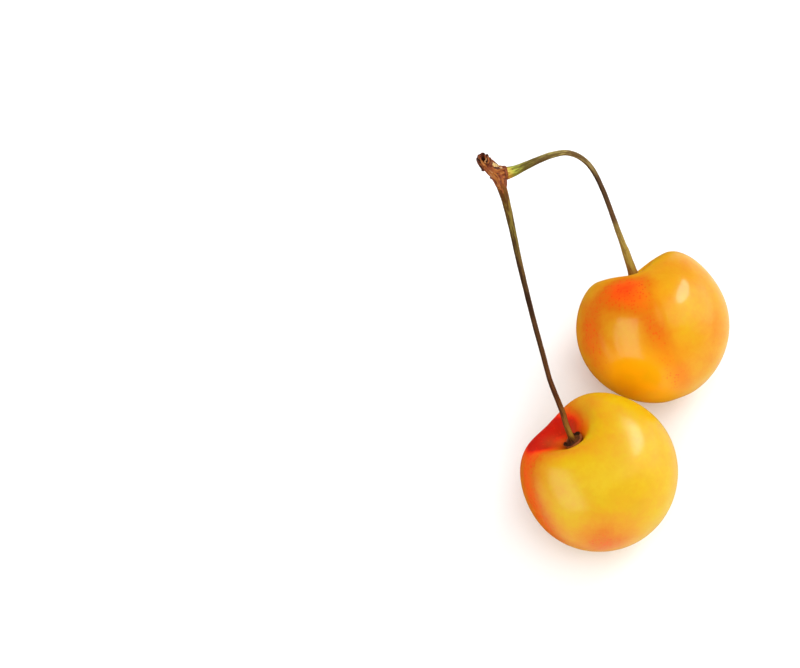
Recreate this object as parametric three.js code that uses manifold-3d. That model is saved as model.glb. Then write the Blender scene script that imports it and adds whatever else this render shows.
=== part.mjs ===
// Two sweet cherries on their stalks, joined at the woody spur that they grew from, lying on a flat surface.
// Millimetres, +Z up. The origin is on the surface, under the middle of the object's bounding box.

import * as THREE from 'three';
import { mergeVertices } from 'three/addons/utils/BufferGeometryUtils.js';
import Module from 'manifold-3d';

const wasm = await Module();
wasm.setup();

// ---- Driving dimensions ----

// A fruit is described about its own stalk axis, with lengths given as shares of its radius.
// Its two shoulders rise along local +X and -X, and its suture runs down local +Y.
const FRUITS = {
  front: {
    radius: 13.1,
    topHeight: 1.0,
    bottomHeight: 1.015,
    thickness: 0.94,
    hollowDepth: 0.46,
    hollowWidth: 0.335,
    shoulderRise: 0.0746,
    shoulderLean: -0.0069,
    sutureDip: 0.08,
    backDip: 0.153,
    backTurn: -71.6,
    backSpread: 1.04,
    taper: 0.04,
    centre: [0.2, -0.1, 12.35],
    stalkAzimuth: 143,
    stalkElevation: 44.5,
    twist: -10,
  },
  back: {
    radius: 13.05,
    topHeight: 0.975,
    bottomHeight: 0.996,
    thickness: 0.965,
    hollowDepth: 0.42,
    hollowWidth: 0.34,
    shoulderRise: 0.0385,
    shoulderLean: 0.04,
    sutureDip: 0.116,
    backDip: 0.115,
    backTurn: -90,
    backSpread: 0.6,
    taper: 0.04,
    centre: [10.05, 26.7, 12.25],
    stalkAzimuth: 112,
    stalkElevation: 22.8,
    twist: -5,
  },
};
const SUTURE_SPREAD = 0.6; // half-width in radians of the dip on the suture's side
const SCAR_DEPTH = 0.03; // dimple at the blossom end, as a share of the radius
const SCAR_WIDTH = 0.1;

const JOIN_GAP = 0.25; // clearance where two pieces meet
const COLLAR_LIFT = 1.3; // straight start of a stalk, along its fruit's axis

// The stalks' routes after their straight start in the fruit's hollow.
const FRONT_STALK_ROUTE = [
  [-5.65, 5.0, 20.3], [-6.35, 6.7, 21.9], [-7.2, 8.2, 23.5], [-8.55, 10.7, 26.0], [-9.7, 14.05, 28.4],
  [-11.25, 19.2, 30.8], [-12.45, 23.9, 32.3], [-13.55, 28.9, 33.2], [-14.5, 34.2, 33.6], [-15.15, 38.0, 33.4],
  [-15.75, 41.2, 33.0], [-16.1, 42.65, 32.7],
];
const BACK_STALK_ROUTE = [
  [6.6, 35.3, 16.3], [5.35, 38.35, 18.1], [4.05, 41.25, 19.9], [2.8, 44.1, 21.8], [1.45, 46.8, 23.9],
  [-0.3, 49.5, 26.0], [-1.7, 50.65, 27.2], [-3.3, 51.1, 28.4], [-5.1, 51.0, 29.4], [-7.75, 49.85, 30.5],
  [-10.3, 48.3, 31.3], [-12.9, 46.65, 31.9], [-14.4, 45.8, 32.2], [-15.4, 45.4, 32.4],
];

// Radii along each stalk: [distance from the fruit, radius]. The first rows are the collar in the hollow.
const COLLAR = [[0, 0], [0.62, 1.5], [0.85, 1.7], [1.15, 1.62], [1.4, 1.2]];
const FRONT_STALK_PROFILE = [
  ...COLLAR, [1.75, 0.78], [2.4, 0.64], [3.1, 0.57], [5.5, 0.51], [8, 0.46], [12, 0.43], [20, 0.43],
  [31, 0.46], [37.5, 0.52], [41, 0.6], [44.6, 0.68],
];
const BACK_STALK_PROFILE = [
  ...COLLAR, [1.8, 0.95], [2.6, 0.8], [4.5, 0.7], [6.4, 0.63], [7, 0.57], [10, 0.49], [14, 0.44], [21, 0.44],
  [27.5, 0.47], [30.5, 0.52], [33.5, 0.59], [36.8, 0.75], [38.2, 0.92],
];
const STALKS = {
  front: { route: FRONT_STALK_ROUTE, profile: FRONT_STALK_PROFILE, endRadius: 0.8 },
  back: { route: BACK_STALK_ROUTE, profile: BACK_STALK_PROFILE, endRadius: 1.12 },
};

// The spur is a trunk along a route, and a short cup that stands on the trunk's end with its mouth up.
const TRUNK_ROUTE = [
  [-16.15, 42.95, 32.65], [-16.4, 44.27, 32.65], [-17.12, 45.45, 32.8], [-17.94, 46.48, 32.95],
  [-18.6, 47.2, 33.0],
];
const CUP_ROUTE = [[-18.98, 46.95, 32.5], [-19.07, 47.1, 34.4]];

// Radii of both: [distance, radius]. The cup's last rows go down into its hollow.
const TRUNK_PROFILE = [
  [0, 0], [0, 0.78], [0.5, 0.94], [1.3, 1.1], [2.6, 1.12], [3.8, 1.08], [4.5, 0.98], [4.85, 0.7], [4.9, 0],
];
const CUP_PROFILE = [
  [0, 0], [0, 0.6], [0.25, 0.92], [0.8, 1.05], [1.4, 1.08], [1.7, 1.04], [1.88, 0.88], [1.84, 0.7],
  [1.6, 0.48], [1.1, 0.38], [0.8, 0.28], [0.75, 0],
];
const KNUCKLE = { rootRadius: 1, endRadius: 1.2, length: 1.6 }; // where the back stalk comes out

// Lengthwise ribs on the bark: their number, height as a share of the radius, and turn per millimetre.
const TRUNK_RIBS = { count: 7, height: 0.05, turn: 0.25 };
const CUP_RIBS = { count: 9, height: 0.04, turn: 0.1 };

// Rounded straps of bark, half sunk in the spur: [radius, the points it runs through].
const STRAPS = [
  // long strands from the fork towards the tip
  [0.32, [-19.71, 47.23, 34.31], [-19.2, 46.22, 34.3], [-18.43, 45.81, 33.46], [-17.61, 45.02, 33.52],
    [-16.8, 44.24, 33.57], [-16.31, 43.42, 33.36]],
  [0.32, [-18.51, 46.18, 33.65], [-17.61, 45.34, 33.69], [-16.63, 44.75, 33.68], [-16.01, 43.93, 33.45],
    [-15.91, 43.15, 33.23]],
  [0.34, [-18.8, 46.05, 32.85], [-17.93, 44.93, 33.0], [-17.12, 43.96, 33.22], [-16.48, 42.95, 33.15]],
  [0.32, [-19.68, 46.38, 33.9], [-18.7, 45.98, 32.65], [-17.86, 44.87, 32.5], [-16.95, 43.51, 32.41]],
  // scales round the cup
  [0.36, [-19.98, 47.45, 34.2], [-20.05, 46.9, 33.8], [-19.65, 46.31, 33.3], [-19.09, 46.0, 32.83]],
  [0.36, [-18.22, 47.35, 34.2], [-17.99, 47.03, 33.82], [-18.07, 46.31, 33.8], [-18.27, 45.87, 33.6]],
  [0.32, [-18.43, 47.56, 34.25], [-18.35, 46.86, 34.35], [-18.58, 46.23, 34.3]],
  [0.34, [-19.75, 47.7, 34.15], [-19.31, 48.02, 34.2], [-18.8, 47.98, 34.15]],
  [0.32, [-18.79, 47.9, 34.2], [-18.4, 47.8, 34.25], [-18.16, 47.4, 34.2]],
  // steps of pale cork on the right
  [0.3, [-17.49, 46.79, 33.5], [-17.5, 46.26, 33.8], [-17.71, 45.89, 33.79]],
  [0.3, [-17.12, 46.7, 33.3], [-17.12, 46.14, 33.69], [-17.31, 45.71, 33.77]],
  [0.3, [-16.8, 46.48, 33.18], [-16.71, 46.1, 33.45], [-16.86, 45.69, 33.67]],
  // fibres over the knuckle
  [0.32, [-16.8, 44.66, 33.67], [-16.13, 44.83, 33.67], [-15.6, 44.99, 33.57]],
  [0.32, [-16.53, 45.44, 33.61], [-16.04, 45.54, 33.68], [-15.65, 45.75, 33.5]],
];
const STRAP_END = [[0, 0], [0.1, 0.5], [0.45, 0.87], [1, 1]]; // its rounding, in radii: [along, out]
// Knobs of bark: [radius, where each is].
const KNOBS = [
  [0.24, [-16.21, 45.62, 33.9]], [0.32, [-19.12, 45.78, 33.0]], [0.3, [-17.7, 44.43, 32.7]],
  [0.3, [-17.0, 43.5, 32.6]],
];

const AROUND = { fruit: 40, stalk: 12, spur: 28, strap: 10 };
const FRUIT_ROWS = 28;
const STALK_STEP = 1.5; // longest distance between two rings of a stalk
const STRAP_STEP = 0.45; // and of a strap

const COLOURS = {
  frontSkin: 0xf0c52c,
  backSkin: 0xef9a2c,
  frontStalk: 0x5f4220,
  backStalk: 0x7a6e3c,
  spur: 0x8e4720,
};
const ROUGHNESS = { skin: 0.3, stalk: 0.6, spur: 0.85 };

const UP = new THREE.Vector3(0, 0, 1);
const WELD_DISTANCE = 1e-4;

// ---- Shared shape helpers ----

// Joins vertices that coincide, and drops the triangles that shrink to a line where a profile meets its axis.
function weld(geometry) {
  const bare = new THREE.BufferGeometry();
  bare.setAttribute('position', geometry.getAttribute('position'));
  bare.setIndex(geometry.index);
  const merged = mergeVertices(bare, WELD_DISTANCE);
  const corners = merged.index.array;
  const kept = [];
  for (let i = 0; i < corners.length; i += 3) {
    const [a, b, c] = corners.slice(i, i + 3);
    if (a !== b && b !== c && c !== a) kept.push(a, b, c);
  }
  merged.setIndex(kept);
  return merged;
}

function toSolid(geometry) {
  const closed = weld(geometry);
  const vertProperties = Float32Array.from(closed.getAttribute('position').array);
  const triVerts = Uint32Array.from(closed.index.array);
  return new wasm.Manifold(new wasm.Mesh({ numProp: 3, vertProperties, triVerts }));
}

function toGeometry(solid) {
  const { vertProperties, triVerts } = solid.getMesh();
  const geometry = new THREE.BufferGeometry();
  geometry.setAttribute('position', new THREE.BufferAttribute(vertProperties, 3));
  geometry.setIndex(new THREE.BufferAttribute(triVerts, 1));
  return geometry;
}

function moveVertices(geometry, place) {
  const position = geometry.getAttribute('position');
  const vertex = new THREE.Vector3();
  for (let i = 0; i < position.count; i += 1) {
    vertex.fromBufferAttribute(position, i);
    place(vertex);
    position.setXYZ(i, vertex.x, vertex.y, vertex.z);
  }
  return geometry;
}

// Directions across a curve at a distance along it: side is level, lift stands on it.
function crossFrame(curve, distance) {
  const share = THREE.MathUtils.clamp(distance / curve.getLength(), 0, 1);
  const point = curve.getPointAt(share);
  const tangent = curve.getTangentAt(share).normalize();
  const side = new THREE.Vector3().crossVectors(tangent, UP).normalize();
  const lift = new THREE.Vector3().crossVectors(side, tangent);
  const past = distance - share * curve.getLength();
  point.addScaledVector(tangent, past);
  return { point, tangent, side, lift };
}

// Turns a profile of [distance, radius] rows about the Y axis, and carries each ring to its place on the
// curve. The relief scales the radius by where on the surface a vertex lies.
function turnedAlong(curve, profile, around, relief = () => 1) {
  const rows = profile.map(([distance, radius]) => new THREE.Vector2(radius, distance));
  const geometry = new THREE.LatheGeometry(rows, around);
  return moveVertices(geometry, (vertex) => {
    const { point, side, lift } = crossFrame(curve, vertex.y);
    const scale = relief(vertex.y, Math.atan2(vertex.z, vertex.x));
    const { x, z } = vertex;
    vertex.copy(point).addScaledVector(side, x * scale).addScaledVector(lift, z * scale);
  });
}

// Adds rows to a profile so that no two are further apart than the step.
function withSteps(profile, step) {
  const rows = [profile[0]];
  for (let i = 1; i < profile.length; i += 1) {
    const [fromDistance, fromRadius] = profile[i - 1];
    const [toDistance, toRadius] = profile[i];
    const count = Math.max(1, Math.ceil(Math.abs(toDistance - fromDistance) / step));
    for (let k = 1; k <= count; k += 1) {
      const share = k / count;
      rows.push([
        THREE.MathUtils.lerp(fromDistance, toDistance, share),
        THREE.MathUtils.lerp(fromRadius, toRadius, share),
      ]);
    }
  }
  return rows;
}

function coloured(name, geometry, colour, roughness) {
  const material = new THREE.MeshStandardMaterial({ color: colour, roughness, metalness: 0 });
  const mesh = new THREE.Mesh(geometry, material);
  mesh.name = name;
  return mesh;
}

// ---- Fruits ----

// Where a point of the unit sphere goes on the fruit, in the fruit's own frame.
function shapeFruit(fruit, vertex) {
  const around = Math.atan2(vertex.y, vertex.x);
  const out = Math.hypot(vertex.x, vertex.y);
  const up = vertex.z;
  const bell = (value, width) => Math.exp(-((value / width) ** 2));
  const turnFrom = (angle) => Math.atan2(Math.sin(around - angle), Math.cos(around - angle));

  let height;
  if (up > 0) {
    const shoulder = 4 * out ** 2 * up ** 2;
    const rise = fruit.shoulderRise * Math.cos(around) ** 2 + fruit.shoulderLean * Math.cos(around);
    const backTurn = THREE.MathUtils.degToRad(fruit.backTurn);
    const dips = fruit.sutureDip * bell(turnFrom(Math.PI / 2), SUTURE_SPREAD)
      + fruit.backDip * bell(turnFrom(backTurn), fruit.backSpread);
    const hollow = fruit.hollowDepth * bell(out, fruit.hollowWidth);
    height = fruit.topHeight * up - hollow + shoulder * (rise - dips);
  } else {
    height = fruit.bottomHeight * up + SCAR_DEPTH * bell(out, SCAR_WIDTH);
  }
  const girth = 1 - fruit.taper * Math.min(up, 0) ** 2;
  vertex.set(
    vertex.x * girth * fruit.radius,
    vertex.y * girth * fruit.thickness * fruit.radius,
    height * fruit.radius,
  );
}

// The fruit's own frame in the object: its axis points out of the stalk's hollow.
function fruitFrame(fruit) {
  const azimuth = THREE.MathUtils.degToRad(fruit.stalkAzimuth);
  const elevation = THREE.MathUtils.degToRad(fruit.stalkElevation);
  const axis = new THREE.Vector3(
    Math.cos(elevation) * Math.cos(azimuth),
    Math.cos(elevation) * Math.sin(azimuth),
    Math.sin(elevation),
  );
  const shoulders = new THREE.Vector3().crossVectors(axis, UP).normalize();
  shoulders.applyAxisAngle(axis, THREE.MathUtils.degToRad(fruit.twist));
  const suture = new THREE.Vector3().crossVectors(axis, shoulders);
  const centre = new THREE.Vector3(...fruit.centre);
  return { axis, centre, matrix: new THREE.Matrix4().makeBasis(shoulders, suture, axis).setPosition(centre) };
}

// The fruit in its place, with the small flat spot that it lies on cut at the surface's height.
function makeFruit(name, fruit, colour) {
  const skin = new THREE.SphereGeometry(1, AROUND.fruit, FRUIT_ROWS);
  skin.rotateX(Math.PI / 2);
  moveVertices(skin, (vertex) => shapeFruit(fruit, vertex));
  skin.applyMatrix4(fruitFrame(fruit).matrix);

  const side = 3 * fruit.radius;
  const surface = new THREE.BoxGeometry(side, side, side);
  surface.translate(fruit.centre[0], fruit.centre[1], -side / 2);
  return coloured(name, toGeometry(toSolid(skin).subtract(toSolid(surface))), colour, ROUGHNESS.skin);
}

// ---- Stalks ----

// The route starts at the bottom of the fruit's hollow, runs straight out of it, and then bends away.
function stalkCurve(fruit, route) {
  const { axis, centre } = fruitFrame(fruit);
  const hollow = (fruit.topHeight - fruit.hollowDepth) * fruit.radius;
  const start = centre.clone().addScaledVector(axis, hollow + JOIN_GAP);
  const out = start.clone().addScaledVector(axis, COLLAR_LIFT);
  return new THREE.CatmullRomCurve3([start, out, ...route.map((point) => new THREE.Vector3(...point))]);
}

function makeStalk(name, fruit, { route, profile, endRadius }, colour) {
  const curve = stalkCurve(fruit, route);
  const length = curve.getLength();
  const rows = withSteps([...profile, [length, endRadius]], STALK_STEP);
  rows.push([length, 0]);
  return coloured(name, weld(turnedAlong(curve, rows, AROUND.stalk)), colour, ROUGHNESS.stalk);
}

// ---- Spur ----

function curveThrough(points) {
  return new THREE.CatmullRomCurve3(points.map((point) => new THREE.Vector3(...point)));
}

// A ribbed solid of bark: a profile turned about a route.
function barkSolid(route, profile, { count, height, turn }) {
  const ribs = (distance, angle) => 1 + height * Math.cos(count * (angle + turn * distance));
  return toSolid(turnedAlong(curveThrough(route), profile, AROUND.spur, ribs));
}

// The short root of the back stalk, whose end stops just before that stalk's own.
function knuckleSolid() {
  const end = new THREE.Vector3(...BACK_STALK_ROUTE.at(-1));
  const outOfSpur = new THREE.Vector3(...BACK_STALK_ROUTE.at(-2)).sub(end).normalize();
  const top = end.clone().addScaledVector(outOfSpur, -JOIN_GAP);
  const { rootRadius, endRadius, length } = KNUCKLE;
  const knuckle = new THREE.CylinderGeometry(endRadius, rootRadius, length, AROUND.spur);
  knuckle.translate(0, -length / 2, 0);
  knuckle.applyQuaternion(new THREE.Quaternion().setFromUnitVectors(new THREE.Vector3(0, 1, 0), outOfSpur));
  knuckle.translate(top.x, top.y, top.z);
  return toSolid(knuckle);
}

// A strap is a round bar with rounded ends along a curve.
function strapSolid([radius, ...points]) {
  const curve = curveThrough(points);
  const length = curve.getLength();
  const rounding = STRAP_END.map(([along, out]) => [along * radius, out * radius]);
  const ending = rounding.map(([along, out]) => [length - along, out]).reverse();
  const profile = withSteps([...rounding, ...ending], STRAP_STEP);
  return toSolid(turnedAlong(curve, profile, AROUND.strap));
}

function knobSolid([radius, [x, y, z]]) {
  return toSolid(new THREE.IcosahedronGeometry(radius, 1).translate(x, y, z));
}

function makeSpur(name, colour) {
  const solids = [
    barkSolid(TRUNK_ROUTE, TRUNK_PROFILE, TRUNK_RIBS),
    barkSolid(CUP_ROUTE, CUP_PROFILE, CUP_RIBS),
    knuckleSolid(),
    ...STRAPS.map(strapSolid),
    ...KNOBS.map(knobSolid),
  ];
  const whole = solids.reduce((joined, solid) => joined.add(solid));
  return coloured(name, toGeometry(whole), colour, ROUGHNESS.spur);
}

// ---- Assembly ----

const cherries = new THREE.Group();
cherries.add(
  makeFruit('cherry_front', FRUITS.front, COLOURS.frontSkin),
  makeFruit('cherry_back', FRUITS.back, COLOURS.backSkin),
  makeStalk('stalk_front', FRUITS.front, STALKS.front, COLOURS.frontStalk),
  makeStalk('stalk_back', FRUITS.back, STALKS.back, COLOURS.backStalk),
  makeSpur('spur', COLOURS.spur),
);

// The box's middle goes over the origin.
const middle = new THREE.Box3().setFromObject(cherries).getCenter(new THREE.Vector3());
cherries.position.set(-middle.x, -middle.y, 0);

export default cherries;
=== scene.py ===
import math

import bpy
import numpy as np
from mathutils import Matrix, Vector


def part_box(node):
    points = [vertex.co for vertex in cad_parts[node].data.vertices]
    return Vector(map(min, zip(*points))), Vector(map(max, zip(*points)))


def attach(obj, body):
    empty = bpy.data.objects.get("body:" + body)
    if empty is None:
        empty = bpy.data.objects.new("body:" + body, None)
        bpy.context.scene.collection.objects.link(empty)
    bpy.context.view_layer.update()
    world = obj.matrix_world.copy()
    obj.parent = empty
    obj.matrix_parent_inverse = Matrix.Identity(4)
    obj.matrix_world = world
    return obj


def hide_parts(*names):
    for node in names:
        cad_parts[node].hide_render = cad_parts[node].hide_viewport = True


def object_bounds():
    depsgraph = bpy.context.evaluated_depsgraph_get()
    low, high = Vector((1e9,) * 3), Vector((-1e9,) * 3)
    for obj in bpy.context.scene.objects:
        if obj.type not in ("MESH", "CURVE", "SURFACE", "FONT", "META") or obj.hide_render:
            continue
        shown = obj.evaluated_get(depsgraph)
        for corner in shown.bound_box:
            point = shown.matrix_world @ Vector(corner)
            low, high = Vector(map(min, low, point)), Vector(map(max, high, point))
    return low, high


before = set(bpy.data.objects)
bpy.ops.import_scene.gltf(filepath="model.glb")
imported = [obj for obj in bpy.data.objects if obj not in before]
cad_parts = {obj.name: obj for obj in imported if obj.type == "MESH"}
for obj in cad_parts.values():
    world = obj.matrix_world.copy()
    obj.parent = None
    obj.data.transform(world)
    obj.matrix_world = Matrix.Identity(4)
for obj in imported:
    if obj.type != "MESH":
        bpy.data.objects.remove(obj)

CAD_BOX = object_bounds()

bl_info = {
    "name": "Cherries on Stalks",
    "version": (1, 0, 0),
    "blender": (4, 5, 0),
    "location": "View3D > Sidebar > Cherries",
    "description": "Two bicoloured cherries whose stalks meet on one woody spur",
    "category": "Add Mesh",
}

# Lengths in the tables below are millimetres, and angles are degrees. The layout is the frame with the front
# cherry near its origin; layout_shift finds the step from there to the frame of the CAD model.
MM = 0.001
UP = np.array([0.0, 0.0, 1.0])

# ---------------------------------------------------------------- the two fruits

# Heights, depths, rises and dips are shares of the radius.
FRUITS = {
    "front": {
        "top_height": 1.0, "bottom_height": 1.015, "thickness": 0.94,
        "hollow_depth": 0.46, "hollow_width": 0.335,
        "shoulder_rise": 0.0746, "shoulder_lean": -0.0069, "suture_dip": 0.08,
        "back_dip": 0.153, "back_turn": -71.6, "back_spread": 1.04,
        "centre": (0.2, -0.1, 12.35), "azimuth": 143.0, "elevation": 44.5, "twist": -10.0,
        "lump_seed": 5, "suture_side": 90.0,
    },
    "back": {
        "top_height": 0.975, "bottom_height": 0.996, "thickness": 0.965,
        "hollow_depth": 0.42, "hollow_width": 0.34,
        "shoulder_rise": 0.0385, "shoulder_lean": 0.04, "suture_dip": 0.116,
        "back_dip": 0.115, "back_turn": -90.0, "back_spread": 0.6,
        "centre": (10.05, 26.7, 12.25), "azimuth": 112.0, "elevation": 22.8, "twist": -5.0,
        "lump_seed": 9, "suture_side": -90.0,
    },
}
GIRTH_TAPER = 0.04
SUTURE_SPREAD = 0.6
SCAR_DEPTH = 0.03
SCAR_WIDTH = 0.1
LUMP_HEIGHT = 0.07
LUMP_WAVES = (14, 5.0)
SUTURE_DEPTH = 0.05
SUTURE_WIDTH = 1.8
REST_ROUNDING = 0.06
FRUIT_ROWS = 170
FRUIT_AROUND = 240
LAYOUT_GRID = (90, 120)

# Patches of the skin: angle from the stalk, angle round it, reach down, reach round, amount. They say how
# ripe it is, where its gold is deeper, where light is painted on flesh that lies in shade, and where it is
# bruised.
RIPENESS = {
    "front": (
        (13, 46, 7, 9, 0.50), (24, 92, 17, 18, 0.86), (25, 148, 11, 11, 0.64), (9, 20, 6, 7, 0.20),
        (48, 135, 28, 28, 0.30), (18, 176, 8, 8, 0.30), (42, 176, 18, 10, 0.20), (76, -176, 36, 16, 0.44),
        (116, -136, 18, 24, 0.34), (92, -128, 16, 16, 0.11), (100, 120, 40, 50, 0.22),
        (140, 60, 30, 60, 0.12), (28, 0, 10, 14, 0.12), (25, -130, 8, 24, 0.22),
        (104, -106, 14, 16, 0.04), (36, -48, 12, 28, 0.06), (68, -100, 26, 26, -0.06),
        (100, -142, 12, 20, 0.10), (46, 112, 26, 30, 0.24),
    ),
    "back": (
        (48, -116, 15, 17, 0.49), (66, -108, 12, 14, 0.18), (94, -99, 24, 10, 0.28),
        (134, -94, 18, 12, 0.32), (72, -148, 24, 16, 0.20), (94, -155, 32, 18, 0.20),
        (40, 120, 30, 40, 0.02), (95, 150, 45, 40, 0.18), (70, 60, 40, 30, 0.14), (58, -44, 16, 16, 0.10),
        (40, -66, 10, 12, 0.06), (112, -46, 22, 14, 0.12), (58, -88, 18, 22, 0.06),
        (40, -104, 9, 15, 0.16), (54, -97, 12, 9, 0.10),
    ),
}
RIPENESS_BASE = {"front": 0.16, "back": 0.26}
DEEPENING = {
    "front": (
        (84, -88, 14, 12, 0.5), (96, -100, 12, 14, 0.45), (70, -108, 10, 12, 0.2),
        (60, -85, 12, 10, 0.25),
    ),
    "back": ((96, -72, 26, 9, 0.35), (52, -62, 16, 12, 0.3), (124, -118, 26, 18, 0.35)),
}
# Painted light: lit flesh laid over the shaded wall of the front fruit's hollow and under the back fruit.
PAINTED_GLOW = {
    "front": ((11, -8, 6, 9, 0.60), (14, -44, 5, 8, 0.30)),
    "back": (
        (124, -124, 26, 26, 0.95), (140, -150, 26, 30, 0.9), (108, -140, 18, 18, 0.3),
        (58, -88, 18, 22, 0.25),
    ),
}
BRUISE = {
    "front": ((15, 146, 5, 8, 0.9),),
    "back": ((14, -100, 7, 9, 0.3),),
}

# Reach in degrees: of the hollow's colour and its duller coat from the stalk, of the scar from the tip.
SOCKET_REACH = 11.0
SHELTER_REACH = 40.0
SCAR_REACH = 3.2
# For each skin: the colour of lit flesh painted over its shade as painted light, its roughness, and the
# weight and roughness of its waxy coat.
SKIN_GLOSS = {"front": ("flame", 0.45, 0.46, 0.25), "back": ("bright", 0.40, 0.42, 0.16)}

# ---------------------------------------------------------------- the stalks

# Each stalk's seat above the bottom of the hollow, its route from there to the spur, its shaft as distances
# along it and radii, its radius at the spur's end, and the waves that break its collar's rim into lumps. A
# wave is a count round the stalk, a twist in radians for each millimetre along, a start and a share.
STALKS = {
    "front": {
        "seat": 0.07,
        "route": (
            (-5.65, 5.0, 20.3), (-6.35, 6.7, 21.9), (-7.2, 8.2, 23.5), (-8.55, 10.7, 26.0),
            (-9.7, 14.05, 28.4), (-11.25, 19.2, 30.8), (-12.45, 23.9, 32.3), (-13.55, 28.9, 33.2),
            (-14.5, 34.2, 33.6), (-15.15, 38.0, 33.4), (-15.75, 41.2, 33.0), (-16.1, 42.65, 32.7),
        ),
        "shaft": (
            (1.0, 0.9), (1.2, 0.66), (1.7, 0.54), (2.4, 0.50), (3.1, 0.49), (5.5, 0.48), (8.0, 0.46),
            (12.0, 0.43), (20.0, 0.43), (31.0, 0.46), (37.5, 0.52), (41.0, 0.6), (44.6, 0.68),
        ),
        "end_radius": 0.8,
        "lumps": ((2, 0.0, 0.4, 0.55), (3, 0.0, 2.0, 0.35), (5, 0.0, 0.8, 0.3)),
    },
    "back": {
        "seat": 0.25,
        "route": (
            (6.6, 35.3, 16.3), (5.35, 38.35, 18.1), (4.05, 41.25, 19.9), (2.8, 44.1, 21.8),
            (1.45, 46.8, 23.9), (-0.3, 49.5, 26.0), (-1.7, 50.65, 27.2), (-3.3, 51.1, 28.4),
            (-5.1, 51.0, 29.4), (-7.75, 49.85, 30.5), (-10.3, 48.3, 31.3), (-12.9, 46.65, 31.9),
            (-14.4, 45.8, 32.2), (-15.4, 45.4, 32.4),
        ),
        "shaft": (
            (1.2, 1.08), (1.45, 0.98), (1.8, 0.92), (2.6, 0.80), (4.5, 0.70), (6.4, 0.63), (7.0, 0.57),
            (10.0, 0.49), (14.0, 0.44), (21.0, 0.44), (27.5, 0.47), (30.5, 0.52), (33.5, 0.59),
            (36.8, 0.75), (38.2, 0.92),
        ),
        "end_radius": 1.12,
        "lumps": ((2, 0.0, 1.4, 0.3), (3, 0.0, 0.5, 0.3), (5, 0.0, 2.1, 0.3)),
    },
}
# Both collars' profile: a raised rim with a sunk ring inside it. A stalk goes on from there.
COLLAR = (
    (0.0, 0.0), (0.35, 0.9), (0.62, 1.45), (0.85, 1.66), (1.08, 1.7), (1.26, 1.56), (1.22, 1.36), (1.06, 1.2),
)
COLLAR_LIFT = 1.3
COLLAR_LUMP = 0.13
COLLAR_RISE = 1.6
# Places along the profile's own line, each with the length that eases it: where the stem begins and the
# collar ends, the collar's dark rim, and its underside, darkened as painted shade where it sits on the fruit.
STEM_START = (2.2, 1.5)
COLLAR_END = (2.4, 0.5)
COLLAR_RIM = (2.55, 0.40)
COLLAR_SHADED_UNDERSIDE = (1.55, 0.4)
STALK_RIDGES = ((4, 0.16, 0.0, 0.55), (7, -0.1, 1.0, 0.3), (11, 0.3, 0.0, 0.15))
STALK_SWELLING = 0.04
STALK_AROUND = 64
STALK_ROW_STEP = 0.1

# Colours along each stalk, as a share of its length and a display colour, for its dark and its light stripes.
# These are its brown and olive, and partly painted light, since the light ones lie more on the stem's right
# side.
ZONES = {
    ("front", "shade"): (
        (0.0, 84, 46, 30), (0.03, 66, 30, 12), (0.06, 112, 72, 24), (0.12, 80, 38, 12),
        (0.22, 64, 31, 11), (0.40, 54, 29, 11), (0.56, 46, 26, 12), (0.70, 60, 38, 17),
        (0.84, 70, 48, 18), (0.94, 86, 50, 18), (1.0, 96, 44, 12),
    ),
    ("front", "light"): (
        (0.0, 122, 74, 52), (0.03, 100, 54, 22), (0.06, 160, 130, 46), (0.10, 136, 88, 32),
        (0.2, 98, 54, 20), (0.40, 76, 47, 20), (0.56, 75, 45, 23), (0.70, 100, 74, 33),
        (0.82, 120, 104, 44), (0.93, 122, 96, 38), (1.0, 120, 62, 20),
    ),
    ("back", "shade"): (
        (0.0, 108, 62, 22), (0.06, 124, 78, 26), (0.12, 130, 98, 38), (0.27, 118, 94, 46),
        (0.30, 76, 50, 30), (0.42, 60, 40, 24), (0.50, 54, 36, 20), (0.55, 84, 62, 34),
        (0.66, 96, 72, 40), (0.76, 96, 78, 38), (0.84, 80, 60, 30), (0.92, 88, 76, 30),
        (0.97, 112, 106, 36), (1.0, 170, 112, 40),
    ),
    ("back", "light"): (
        (0.0, 140, 86, 28), (0.05, 146, 98, 32), (0.10, 160, 133, 55), (0.26, 152, 128, 66),
        (0.30, 97, 67, 38), (0.42, 80, 56, 34), (0.50, 82, 58, 36), (0.55, 128, 106, 62),
        (0.66, 150, 128, 78), (0.76, 164, 150, 82), (0.86, 98, 80, 36), (0.92, 140, 134, 56),
        (0.97, 158, 166, 62), (1.0, 204, 182, 82),
    ),
}

# ---------------------------------------------------------------- the spur

SPUR_ROUTE = (
    (-15.98, 42.2, 32.75), (-16.12, 43.1, 32.65), (-16.4, 44.27, 32.65), (-17.12, 45.45, 32.8),
    (-17.94, 46.48, 32.95), (-18.6, 47.2, 33.0),
)
KNUCKLE_ROUTE = ((-16.9, 45.1, 32.8), (-15.42, 45.34, 32.55))
CUP_ROUTE = ((-18.98, 46.95, 32.5), (-19.07, 47.1, 34.4))
SPUR_ACROSS = (0.768, 0.640, 0.0)
CUP_SLOT = 2.4
STRAP_ROWS = 40
STRAP_AROUND = 20
KNOB_ROWS = 24
KNOB_AROUND = 32
KNOB_BUMPS = 0.2
KNOB_WAVES = (8, 6.0)
SPINE_LENGTH = 5.8
# Distance along each of those lines and radius there. The cup's profile turns down into its hollow.
SPUR_SHAFT = (
    (0.0, 0.0), (0.0, 0.4), (0.2, 0.62), (0.6, 0.84), (1.1, 0.96), (2.1, 1.1), (3.4, 1.12), (4.6, 1.08),
    (5.4, 0.98), (5.7, 0.7), (5.75, 0.0),
)
KNUCKLE_SHAFT = (
    (0.0, 0.0), (0.0, 0.8), (0.3, 1.1), (0.9, 1.18), (1.35, 1.22), (1.6, 1.16), (1.66, 0.9), (1.66, 0.0),
)
CUP_SHAFT = (
    (0.0, 0.0), (0.0, 0.5), (0.25, 0.9), (0.8, 1.02), (1.4, 1.05), (1.7, 1.02), (1.86, 0.9), (1.84, 0.72),
    (1.7, 0.54), (1.1, 0.42), (0.8, 0.3), (0.75, 0.0),
)
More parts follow.
